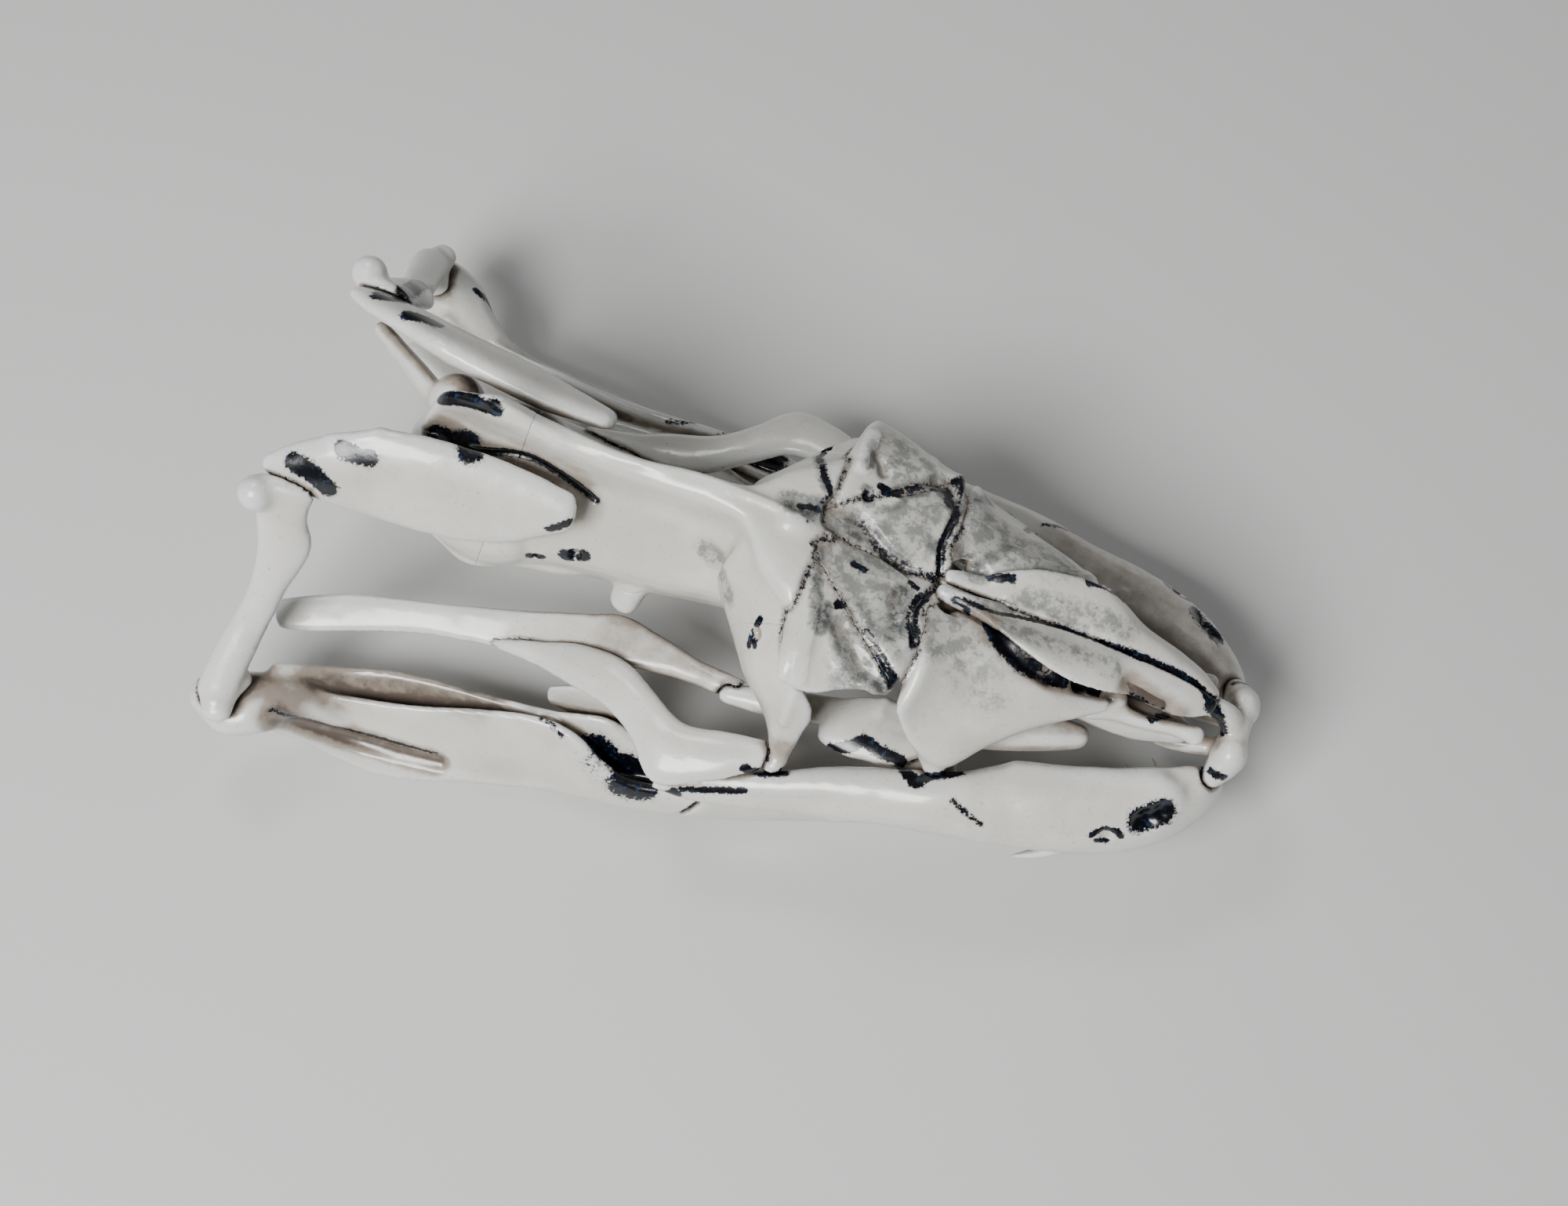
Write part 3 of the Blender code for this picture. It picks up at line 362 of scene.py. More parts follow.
def points_of(mesh):
    """The vertices' places, in millimetres."""
    points = np.empty(len(mesh.vertices) * 3)
    mesh.vertices.foreach_get("co", points)
    return points.reshape(-1, 3) / MM


def set_points(mesh, points):
    """Puts the vertices at places in millimetres."""
    mesh.vertices.foreach_set("co", (points * MM).ravel())
    mesh.update()


def normals_of(mesh):
    normals = np.empty(len(mesh.vertices) * 3)
    mesh.vertices.foreach_get("normal", normals)
    return normals.reshape(-1, 3)


def edges_of(mesh):
    edges = np.empty(len(mesh.edges) * 2, np.int64)
    mesh.edges.foreach_get("vertices", edges)
    return edges.reshape(-1, 2)


def relaxed(values, edges, rounds, share):
    """Values per vertex, each moved towards its neighbours' mean."""
    a, b = edges[:, 0], edges[:, 1]
    size = len(values)
    count = np.maximum(np.bincount(edges.ravel(), minlength=size), 1)
    values = np.array(values, float)
    columns = values.reshape(size, -1)
    for _ in range(rounds):
        for c in range(columns.shape[1]):
            column = columns[:, c]
            total = np.bincount(a, weights=column[b], minlength=size)
            total += np.bincount(b, weights=column[a], minlength=size)
            columns[:, c] = column + share * (total / count - column)
    return columns.reshape(values.shape)


def keep_largest(body):
    """Keeps the closed surface with the most vertices."""
    edges = edges_of(body.data)
    size = len(body.data.vertices)
    label = np.arange(size)
    while True:
        low = np.minimum(label[edges[:, 0]], label[edges[:, 1]])
        new = label.copy()
        np.minimum.at(new, edges[:, 0], low)
        np.minimum.at(new, edges[:, 1], low)
        new = new[new]
        if np.array_equal(new, label):
            break
        label = new
    names, counts = np.unique(label, return_counts=True)
    if len(names) == 1:
        return
    drop = np.flatnonzero(label != names[np.argmax(counts)])
    with edited(body.data) as shape:
        shape.verts.ensure_lookup_table()
        bmesh.ops.delete(shape, geom=[shape.verts[i] for i in drop], context="VERTS")


def combine(body, others, operation):
    """One Boolean of body with closed meshes, applied. The others are removed."""
    group = bpy.data.collections.new("operands")
    bpy.context.scene.collection.children.link(group)
    for other in others:
        for owner in list(other.users_collection):
            owner.objects.unlink(other)
        group.objects.link(other)
    step = body.modifiers.new("combine", "BOOLEAN")
    step.operation = operation
    step.operand_type = "COLLECTION"
    step.collection = group
    step.solver = "MANIFOLD"
    apply_modifiers(body)
    for other in list(group.objects):
        bpy.data.objects.remove(other, do_unlink=True)
    bpy.data.collections.remove(group)


def joined(name, pieces):
    """One object with the meshes of several."""
    mesh = bpy.data.meshes.new(name)
    with edited(mesh) as shape:
        for piece in pieces:
            shape.from_mesh(piece.data)
            bpy.data.objects.remove(piece, do_unlink=True)
    return placed(name, mesh)


def remeshed(body, rounds):
    """One even skin round all that the body holds, softened a little."""
    small = kind_of(body.name) in FINE_BONES
    step = body.modifiers.new("skin", "REMESH")
    step.mode = "VOXEL"
    step.voxel_size = (FINE_VOXEL if small else VOXEL) * MM
    apply_modifiers(body)
    edges = edges_of(body.data)
    points = points_of(body.data)
    for _ in range(rounds):
        points = relaxed(points, edges, 1, 0.5)
        points = relaxed(points, edges, 1, -0.36)
    set_points(body.data, points)


def fuse(name, pieces):
    """Unites pieces into one named bone, and keeps its teeth aside until its skin is done."""
    teeth = [p for p in pieces if p.name.startswith("tooth")]
    if teeth:
        TEETH[name] = joined(name + "_teeth", teeth)
    body = joined(name, [p for p in pieces if p not in teeth])
    remeshed(body, 6)
    return body


def grown(body, amount=GAP):
    """A copy of a bone, larger all round, to cut its neighbour with."""
    cutter = copy_of(body, "cutter")
    with edited(cutter.data) as shape:
        shape.normal_update()
        moves = [(v, v.normal * (amount * MM * min(v.calc_shell_factor(), 2.0))) for v in shape.verts]
        for vertex, move in moves:
            vertex.co += move
    return cutter


def half_space(point, ahead):
    """A large box that has point on one face and lies ahead of it, to cut with."""
    mesh = bpy.data.meshes.new("half_space")
    ahead = Vector(ahead).normalized()
    turn = Vector((1, 0, 0)).rotation_difference(ahead)
    centre = (Vector(point) + ahead * CUT_BOX / 2) * MM
    with edited(mesh) as shape:
        bmesh.ops.create_cube(shape, size=CUT_BOX * MM)
        for v in shape.verts:
            v.co = centre + turn @ v.co
    return placed("half_space", mesh)


def end_at(body, point, ahead):
    """Ends a bone at the plane through point, keeping what lies behind it."""
    combine(body, [half_space(point, ahead)], "DIFFERENCE")


def part_along(front, rear, point, ahead, gap=GAP):
    """Ends two bones at one plane through point, with the gap between them."""
    ahead = Vector(ahead).normalized()
    for body, way in ((rear, ahead), (front, -ahead)):
        end_at(body, Vector(point) - way * gap / 2, way)


def copy_of(body, name):
    return placed(name, body.data.copy())


def mirrored(body, name):
    """The same bone on the other side."""
    twin = copy_of(body, name)
    with edited(twin.data) as shape:
        for v in shape.verts:
            v.co.y = -v.co.y
        bmesh.ops.reverse_faces(shape, faces=shape.faces)
    return twin


def keep_right_half(body):
    """Ends a paired bone just short of the midline."""
    end_at(body, (0, -MIDLINE_GAP, 0), (0, 1, 0))


def braincase():
    """The closed box round the brain with the bars behind the eyes, modelled whole and parted."""
    pieces = [
        crested([
            (-48.0, 20.0, 25.0, 3.4, 29.0, 1.6, 31.5),
            (-44.5, 17.4, 25.0, 7.6, 33.0, 1.3, 38.0),
            (-41.5, 15.8, 24.6, 9.6, 36.0, 1.0, CREST_TOP - 2.0),
            (-38.0, 14.8, 24.0, 10.4, 37.4, 1.0, CREST_TOP),
            (-32.5, 14.0, 23.4, 10.0, 37.2, 1.2, CREST_TOP),
            (-27.0, 13.6, 23.0, 8.8, 35.6, 1.3, 43.0),
            (-20.0, 13.8, 22.8, 7.9, 34.0, 1.5, 41.0),
            (-12.0, 14.4, 23.2, 7.7, 33.6, 1.6, 40.5),
            (-5.0, 15.4, 24.0, 7.4, 34.2, 1.8, 40.4),
            (-0.5, 16.4, 24.4, 7.4, 35.4, 2.6, 40.0),
            (3.4, 17.0, 24.4, 7.2, 35.6, 6.2, 39.4),
            (9.0, 17.4, 24.4, 7.0, 35.0, 9.4, 38.8),
        ]),
        blade([
            ((5.0, 1.4, 37.8), (5.0, -2.8, 37.8), 4.4, 0),
            ((10.2, 0.8, 37.4), (10.2, -2.2, 37.4), 3.6, 0),
        ]),
        rod([
            ((-8.0, 0, 17.0), 4.8, 2.6),
            ((4.0, 0, 16.8), 3.8, 2.2),
            ((16.0, 0, 16.8), 2.6, 2.0),
            ((27.0, 0, 16.6), 1.9, 1.8),
            ((36.0, 0, 16.4), 1.1, 1.2),
        ]),
        knob((-47.4, 0, 21.2), (3.2, 3.4, 2.8)),
    ]
    for side in (-1, 1):
        pieces += [
            knob((-43.6, side * 5.0, 32.0), (3.8, 4.2, 4.6)),
            knob((-36.0, side * 7.8, 24.0), (7.4, 3.8, 5.6)),
            blade([
                ((-43.0, side * 3.0, 33.0), (-43.0, side * 3.0, 24.0), 3.6, 0),
                ((-50.0, side * 7.4, 34.0), (-50.0, side * 8.0, 27.4), 3.2, 0),
                ((-57.6, side * 12.0, 34.2), (-57.6, side * 12.8, 30.8), 2.4, 0),
            ]),
            blade([
                ((9.4, side * 4.0, 37.2), (0.0, side * 3.0, 35.8), 3.0, 0),
                ((10.4, side * 8.6, 36.2), (-2.8, side * 6.4, 30.0), 3.0, side * -0.6),
                ((11.0, side * 13.6, 34.4), (-1.0, side * 8.9, 26.2), 2.8, side * -1.2),
                ((12.6, side * 18.2, 31.2), (2.8, side * 12.6, 22.6), 2.8, side * -1.8),
                ((14.4, side * 19.6, 26.2), (6.6, side * 16.5, 18.2), 2.6, side * -1.5),
                ((12.9, side * 20.9, 19.6), (8.6, side * 18.9, 15.2), 2.6, side * -0.6),
                ((11.8, side * 22.0, 15.2), (8.8, side * 21.0, 13.6), 2.6, 0),
                ((11.6, side * 23.4, 13.6), (8.6, side * 23.2, 13.0), 3.0, 0),
            ]),
            blade([
                ((-43.5, side * 5.0, 19.2), (-43.5, side * 8.8, 20.4), 2.4, 0),
                ((-38.0, side * 5.0, 18.2), (-37.5, side * 11.4, 20.4), 2.8, 0),
                ((-31.0, side * 4.0, 17.6), (-31.0, side * 9.2, 19.6), 2.8, 0),
                ((-25.0, side * 4.0, 18.0), (-25.0, side * 8.6, 19.8), 2.6, 0),
                ((-19.5, side * 3.0, 18.4), (-19.5, side * 6.8, 19.4), 2.0, 0),
            ]),
            rod([
                ((-14.5, side * 4.0, 20.0), 3.2, 2.4),
                ((-15.6, side * 6.4, 18.4), 2.4, 2.0),
                ((-16.2, side * 8.4, 16.6), 2.0, 1.8),
            ]),
        ]
    whole = fuse("parietal_bone", pieces)
    hole = knob((-49.6, 0, 26.0), (3.2, 2.5, 2.3))
    combine(whole, [hole], "DIFFERENCE")
    return whole


def frontal():
    """Half of the roof between the eyes with the wall below it, and the brow bone beside it."""
    roof = blade([
        ((9.2, 1.0, 36.6), (10.2, -19.4, 33.6), 3.4, 0.8),
        ((13.0, 1.0, 34.4), (13.8, -19.2, 32.0), 3.4, 1.4),
        ((17.4, 1.0, 32.8), (18.0, -17.4, 32.0), 3.4, 1.6),
        ((21.5, 1.0, 31.6), (20.8, -16.5, 31.5), 3.2, 1.7),
        ((24.8, 1.0, 31.0), (22.8, -16.4, 31.0), 2.6, 1.8),
    ])
    brow = copy_of(roof, "supraorbital_right_bone")
    part_along(roof, brow, (18.4, -10.9, 34.0), (0.64, 0.77, 0))
    wall = rod([
        ((7.0, -1.0, 27.4), 6.0, 8.0),
        ((15.0, -1.0, 26.4), 5.4, 7.0),
        ((24.5, -1.0, 25.4), 4.4, 6.2),
    ])
    body = fuse("frontal_right_bone", [roof, wall])
    keep_right_half(body)
    return body, brow


def nasal():
    """Half of the nose roof, thin and arched, with its share of the upright septum."""
    roof = blade([
        ((25.6, 0.8, 31.2), (25.4, -1.8, 33.2), 1.8, 0),
        ((31.0, 0.8, 30.2), (31.0, -3.2, 33.6), 1.8, -0.2),
        ((37.0, 0.8, 29.6), (37.0, -5.8, 33.2), 1.8, 0),
        ((43.0, 0.8, 29.0), (43.0, -7.0, 31.2), 1.8, 0.4),
        ((47.0, 0.8, 28.4), (47.0, -6.6, 29.4), 1.8, 0.8),
        ((51.0, 0.8, 27.6), (51.0, -5.1, 26.6), 1.8, 0.9),
        ((55.0, 0.8, 26.6), (55.0, -4.5, 23.9), 1.8, 0.9),
        ((59.0, 0.8, 25.0), (59.0, -3.4, 22.4), 1.6, 0.6),
        ((62.0, 0.6, 23.0), (61.6, -2.0, 21.8), 1.3, 0.0),
    ])
    septum = blade([
        ((27.0, -0.7, 30.2), (27.0, -0.7, 24.0), 1.6, 0),
        ((35.0, -0.7, 29.4), (35.0, -0.7, 20.4), 1.6, 0),
        ((46.0, -0.7, 28.4), (46.0, -0.7, 19.4), 1.6, 0),
        ((57.0, -0.7, 25.6), (57.0, -0.7, 20.6), 1.6, 0),
    ])
    body = fuse("nasal_right_bone", [roof, septum])
    keep_right_half(body)
    return body


def prefrontal():
    """The three-sided shield in front of the eye, its orbit wall and its foot on the maxilla."""
    shield = blade([
        ((23.9, -3.2, 33.0), (24.6, -17.0, 28.6), 2.4, 1.8),
        ((28.0, -3.8, 32.4), (26.8, -17.8, 21.6), 2.4, 2.4),
        ((32.0, -4.4, 31.8), (31.4, -17.6, 16.8), 2.3, 2.4),
        ((36.0, -6.2, 30.4), (36.0, -14.0, 19.4), 2.2, 1.8),
        ((41.0, -7.2, 28.6), (41.0, -10.6, 22.0), 2.0, 1.0),
        ((45.5, -6.4, 26.4), (45.5, -8.0, 23.2), 1.8, 0.4),
        ((48.8, -5.2, 24.8), (48.8, -6.4, 23.6), 1.4, 0.0),
    ])
    wall = blade([
        ((25.6, -15.0, 30.2), (25.4, -6.0, 33.2), 2.4, 0),
        ((26.4, -16.8, 24.4), (26.0, -6.8, 26.0), 2.4, 0),
        ((28.4, -17.8, 18.8), (27.6, -10.0, 20.4), 2.6, 0),
        ((30.8, -19.2, 15.4), (29.8, -15.0, 15.8), 3.0, 0),
    ])
    flange = blade([
        ((27.6, -2.5, 30.9), (27.6, -7.8, 31.3), 1.8, 0),
        ((31.0, -2.6, 31.0), (31.0, -8.4, 31.0), 1.8, 0),
        ((37.0, -3.6, 30.4), (37.0, -8.8, 28.9), 1.8, 0),
        ((43.5, -4.6, 26.8), (43.5, -8.0, 25.8), 1.6, 0),
    ])
    return fuse("prefrontal_right_bone", [shield, wall, flange])


def premaxilla():
    """The single bone at the tip of the snout, with a spine up to the nasals."""
    front = SNOUT - 2.0
    pieces = [
        rod([
            ((64.6, -6.6, 13.6), 1.5, 1.5),
            ((front - 0.6, -4.4, 14.6), 2.2, 2.4),
            ((front - 0.4, 0.0, 15.4), 1.9, 2.6),
            ((front - 0.6, 4.4, 14.6), 2.2, 2.4),
            ((64.6, 6.6, 13.6), 1.5, 1.5),
        ]),
        rod([
            ((front - 0.6, 0, 16.0), 1.7, 1.6),
            ((64.0, 0, 19.4), 1.5, 1.5),
            ((60.6, 0, 21.4), 1.2, 1.2),
        ]),
    ]
    for side in (-1, 1):
        pieces += [
            knob((front - 0.2, side * 3.4, 15.2), (2.2, 2.8, 3.0)),
            rod([
                ((65.0, side * 2.0, 13.4), 1.3, 1.3),
                ((60.0, side * 2.6, 12.8), 1.3, 1.2),
                ((56.5, side * 3.0, 12.6), 0.9, 0.9),
            ]),
        ]
        for y, length in ((1.6, 3.4), (4.2, 3.8)):
            root = (front - 0.4, side * y, 14.2)
            tip = (front - 2.0, side * y, 12.6 - length)
            pieces.append(tooth(root, tip, (0.5, 0, 0), 0.8))
    return fuse("premaxilla_bone", pieces)


def vomer():
    """Half of the floor of the nose, close to the midline."""
    body = rod([
        ((37.0, -1.8, 15.6), 1.5, 1.8),
        ((44.0, -2.4, 15.6), 2.2, 2.4),
        ((52.0, -2.8, 15.4), 2.6, 2.6),
        ((59.0, -2.4, 15.4), 1.6, 1.8),
    ])
    body = fuse("vomer_right_bone", [body])
    keep_right_half(body)
    return body


def septomaxilla():
    """The small lobed bone at the side of the nose opening."""
    pieces = [
        rod([
            ((47.2, -5.4, 19.6), 1.0, 1.1),
            ((50.6, -4.3, 19.6), 1.2, 1.2),
            ((54.4, -4.4, 19.4), 0.9, 1.1),
            ((58.0, -3.9, 19.2), 0.9, 1.1),
            ((61.0, -3.8, 18.8), 1.4, 1.3),
        ]),
        knob((49.6, -3.2, 20.9), (1.9, 1.7, 1.9)),
    ]
    body = fuse("septomaxilla_right_bone", pieces)
    keep_right_half(body)
    return body


def maxilla():
    """The upper jaw's outer bone, from the snout to below the eye, with its row of teeth."""
    bar = blade([
        ((-3.4, -28.0, 10.4), (-4.8, -29.6, 8.6), 1.8, 0),
        ((3.0, -25.8, 12.2), (2.0, -29.0, 7.8), 3.2, 0),
        ((11.0, -24.0, 13.6), (10.0, -27.2, 8.0), 4.0, 0.2),
        ((18.5, -21.2, 14.8), (18.0, -25.8, 8.4), 4.6, 0.4),
        ((26.0, -19.2, 15.4), (26.0, -24.4, 8.6), 5.0, 0.7),
        ((33.0, -17.4, 15.8), (33.0, -23.5, 8.6), 5.2, 0.8),
        ((39.8, -13.8, 15.8), (40.0, -22.6, 8.4), 5.2, 0.9),
        ((47.6, -12.0, 15.8), (48.0, -21.0, 8.2), 5.2, 0.9),
        ((53.8, -9.8, 15.8), (55.3, -18.4, 8.0), 5.0, 0.9),
        ((58.6, -7.6, 15.4), (60.0, -15.5, 8.0), 4.6, 0.8),
        ((62.0, -5.8, 14.2), (64.0, -11.4, 8.2), 4.0, 0.5),
        ((63.8, -4.8, 12.6), (66.2, -7.4, 9.0), 3.0, 0.2),
    ])
    shelf = rod([
        ((29.0, -20.0, 12.0), 4.6, 1.5),
        ((29.5, -16.6, 12.0), 3.8, 1.3),
        ((30.0, -13.6, 12.2), 2.8, 1.1),
    ])
    gum = [
        (-1.0, -27.8, 7.8),
        (16.0, -24.0, 7.4),
        (32.0, -21.4, 7.2),
        (48.0, -18.8, 7.2),
        (58.0, -14.8, 7.4),
        (65.0, -7.8, 8.4),
    ]
    teeth = tooth_row(gum, 15, 1.8, (3.8, 6.6), (0.55, 1.1), 1.2)
    splayed = (((49.2, -19.2, 8.4), (42.6, -21.2, 2.2)), ((23.8, -22.6, 8.4), (17.6, -24.2, 2.6)))
    teeth += [tooth(root, tip, (0, -0.6, -1.2), 1.25) for root, tip in splayed]
    return fuse("maxilla_right_bone", [bar, shelf] + teeth)


def palatine():
    """The toothed bar of the palate, with its arms to the maxilla and to the vomer."""
    bar = rod([
        ((0.6, -15.0, 12.2), 1.4, 1.3),
        ((6.0, -14.4, 12.2), 1.9, 1.7),
        ((16.0, -12.8, 12.2), 2.1, 1.9),
        ((26.0, -10.8, 12.4), 2.6, 2.0),
        ((36.0, -8.8, 12.6), 2.7, 2.2),
        ((43.0, -7.0, 12.8), 2.5, 2.2),
        ((46.8, -6.0, 12.6), 1.8, 1.7),
    ])
    outer_arm = blade([
        ((15.0, -11.6, 13.4), (14.6, -17.8, 12.8), 2.0, 0),
        ((18.0, -10.2, 13.8), (17.8, -18.8, 12.8), 2.2, 0.4),
        ((21.0, -9.6, 13.8), (21.0, -18.8, 13.0), 2.2, 0.5),
        ((26.0, -9.6, 13.4), (25.6, -18.2, 13.0), 2.0, 0.3),
        ((31.0, -9.4, 13.2), (30.6, -14.6, 13.0), 1.6, 0.2),
    ])
    inner_arm = rod([
        ((33.0, -8.6, 13.4), 3.8, 1.3),
        ((35.0, -5.8, 16.0), 3.2, 1.0),
        ((36.6, -3.4, 17.2), 2.4, 0.9),
    ])
    gum = [(8.0, -14.2, 10.8), (26.0, -10.8, 10.8), (46.0, -6.4, 10.8)]
    teeth = tooth_row(gum, 7, 1.4, (3.2, 4.8), (0.45, 0.2), 0.95)
    return fuse("palatine_right_bone", [bar, outer_arm, inner_arm] + teeth)


def pterygoid():
    """The long bone from the palate back to the jaw joint, widest behind its middle."""
    wing = blade([
        ((2.4, -12.6, 12.8), (2.0, -15.8, 12.0), 2.6, 0),
        ((-4.0, -11.8, 12.6), (-4.0, -15.0, 11.6), 3.0, 0.3),
        ((-10.5, -10.0, 12.6), (-10.5, -15.0, 11.4), 3.2, 0.5),
        ((-16.3, -8.8, 12.8), (-16.3, -16.0, 11.2), 3.2, 0.8),
        ((-22.0, -10.2, 12.6), (-22.0, -17.4, 10.8), 3.0, 0.8),
        ((-30.0, -12.4, 12.4), (-30.0, -17.8, 10.4), 2.6, 0.6),
        ((-42.0, -14.9, 12.2), (-42.0, -19.2, 10.0), 2.4, 0.4),
        ((-53.0, -17.2, 12.0), (-52.0, -22.0, 9.8), 2.4, 0.4),
        ((-59.0, -19.4, 11.8), (-57.4, -23.8, 9.8), 2.4, 0.4),
        ((-62.8, -21.0, 11.4), (-61.0, -24.8, 9.8), 2.2, 0.2),
    ])
    gum = [(-0.6, -14.0, 10.9), (-9.0, -12.9, 10.6), (-20.0, -13.4, 10.2)]
    teeth = tooth_row(gum[::-1], 7, 1.2, (2.4, 3.2), (0.45, 0.2), 0.8)
    return fuse("pterygoid_right_bone", [wing] + teeth)


def ectopterygoid():
    """The strut from the pterygoid's outer edge to the rear of the maxilla."""
    return fuse("ectopterygoid_right_bone", [
        blade([
            ((-32.5, -16.8, 11.6), (-32.5, -18.3, 10.8), 1.2, 0),
            ((-26.0, -15.8, 12.2), (-26.0, -18.9, 11.0), 2.2, 0),
            ((-20.0, -14.6, 12.9), (-19.8, -20.5, 11.4), 2.9, 0.2),
            ((-13.6, -15.2, 13.3), (-14.0, -22.0, 11.8), 3.3, 0.3),
            ((-8.2, -18.4, 13.7), (-9.2, -25.2, 12.0), 3.2, 0.4),
            ((-2.8, -21.4, 14.2), (-4.6, -29.8, 11.2), 3.0, 0.4),
            ((3.4, -20.8, 14.6), (2.4, -28.0, 12.6), 2.8, 0.3),
            ((9.0, -20.4, 14.8), (8.4, -24.8, 13.8), 2.2, 0),
        ])
    ])


def supratemporal():
    """The long blade on the side of the braincase that holds the quadrate behind it."""
    tip_x, tip_y, tip_z = SUPRATEMPORAL_TIP
    return fuse("supratemporal_right_bone", [
        blade([
            (
                (tip_x + 0.2, tip_y + 0.8, tip_z + 1.0),
                (tip_x + 0.6, tip_y - 1.0, tip_z - 1.4),
                2.2,
                0,
            ),
            ((-58.0, -11.0, 40.2), (-57.2, -15.2, 35.4), 3.0, 0.2),
            ((-52.0, -8.7, 42.2), (-51.4, -14.6, 33.6), 3.6, 0.4),
            ((-45.5, -6.6, 43.2), (-45.0, -13.9, 32.0), 4.4, 0.2),
            ((-38.0, -5.4, 42.0), (-37.6, -13.2, 31.0), 4.4, 0.2),
            ((-30.5, -4.9, 40.0), (-30.2, -11.6, 31.0), 4.0, 0.2),
            ((-22.4, -5.2, 37.8), (-22.6, -8.6, 33.2), 2.4, 0.5),
        ])
    ])


def quadrate():
    """The long bone that hangs the lower jaw from the supratemporal, splayed wide."""
    joint_x, joint_y, joint_z = JAW_JOINT
    shaft = blade([
        ((-53.6, -15.0, 36.0), (-62.0, -16.2, 37.8), 3.8, 0),
        ((-54.8, -17.2, 32.8), (-61.4, -18.6, 34.0), 3.2, 0),
        ((-54.0, -19.8, 29.0), (-61.0, -21.8, 29.2), 2.8, 0.3),
        ((-57.2, -24.2, 23.2), (-62.1, -25.0, 23.8), 3.2, 0.3),
        ((-59.2, -27.4, 18.8), (-64.3, -28.4, 19.4), 3.6, 0),
        ((-60.8, -32.0, 14.8), (-66.4, -33.4, 15.4), 4.4, 0),
        (
            (joint_x + 2.8, joint_y + 1.4, joint_z + 2.0),
            (joint_x - 2.8, joint_y + 0.8, joint_z + 2.4),
            5.0,
            0,
        ),
    ])
    condyle = rod([
        ((joint_x + 0.8, joint_y - 2.0, joint_z + 1.2), 2.0, 1.6),
        ((joint_x, joint_y + 0.6, joint_z + 1.4), 2.6, 1.9),
        ((joint_x + 1.0, joint_y + 4.0, joint_z + 1.4), 2.6, 1.8),
    ])
    head = knob((-60.8, -17.6, 37.0), (2.5, 2.5, 2.4))
    return fuse("quadrate_right_bone", [shaft, condyle, head])


def compound_bone():
    """The rear of the lower jaw: two crests with the muscle trough between, and the joint cup."""
    outer_wall = blade([
        ((-60.4, -34.8, 8.4), (-60.4, -37.0, 3.4), 2.8, 0),
        ((-55.6, -30.8, 6.6), (-55.6, -35.4, -3.4), 2.4, -0.8),
        ((-50.0, -29.5, 5.2), (-50.2, -35.4, -6.4), 2.4, -1.4),
        ((-41.8, -28.1, 5.4), (-41.4, -34.9, -7.4), 2.4, -1.2),
        ((-32.2, -25.9, 6.5), (-31.9, -32.0, -7.2), 2.6, -0.5),
        ((-23.0, -24.6, 7.6), (-21.4, -29.9, -6.2), 2.8, 0),
        ((-17.4, -25.3, 6.6), (-16.0, -29.4, -5.6), 2.8, 0),
        ((-11.0, -27.4, 2.4), (-10.5, -28.8, -5.2), 2.6, 0),
        ((-3.0, -26.4, 1.0), (-3.0, -27.6, -4.8), 2.4, 0),
        ((4.0, -24.4, 0.6), (4.0, -25.4, -3.6), 2.0, 0),
    ])
    inner_wall = blade([
        ((-60.0, -29.4, 9.2), (-60.0, -32.4, 2.8), 3.2, 0),
        ((-52.8, -25.8, 5.8), (-52.0, -30.4, -3.0), 2.3, 0),
        ((-44.4, -23.6, 5.2), (-44.0, -29.4, -4.4), 2.1, 0),
        ((-34.4, -23.0, 5.0), (-34.0, -27.9, -4.2), 2.1, 0),
        ((-23.4, -22.6, 5.8), (-23.0, -26.4, -3.9), 2.3, 0),
        ((-14.4, -21.6, 7.0), (-14.0, -25.6, -3.6), 2.3, 0),
        ((-8.8, -22.2, 3.6), (-8.5, -25.4, -3.3), 2.2, 0),
        ((-3.0, -22.4, 2.2), (-3.0, -24.8, -3.1), 2.0, 0),
        ((3.0, -22.2, 1.0), (3.0, -23.8, -2.8), 1.7, 0),
    ])
    base = rod([
        ((-60.5, -34.0, 5.0), 3.2, 2.6),
        ((-56.0, -32.6, -0.6), 3.0, 2.6),
        ((-50.0, -32.0, -4.2), 2.8, 2.1),
        ((-40.0, -30.8, -5.2), 3.0, 1.9),
        ((-30.0, -29.4, -4.9), 2.8, 1.8),
        ((-20.0, -27.7, -4.0), 2.4, 1.8),
        ((-8.0, -26.8, -2.1), 2.0, 1.6),
        ((1.0, -25.0, -1.5), 1.4, 1.3),
    ])
    cup = rod([
        ((-51.0, -31.2, -0.4), 1.4, 1.8),
        ((-56.0, -31.8, 3.6), 3.0, 3.6),
        ((-60.5, -34.4, 6.4), 4.4, 3.4),
        ((-65.0, -36.4, 7.2), 4.4, 2.6),
        ((JAW_REAR + 1.4, -36.6, 9.0), 2.6, 2.4),
    ])
    rear_knob = knob((JAW_REAR + 2.4, -36.4, 10.6), (1.9, 2.4, 2.2))
    return fuse("compound_bone_right_bone", [outer_wall, inner_wall, base, cup, rear_knob])


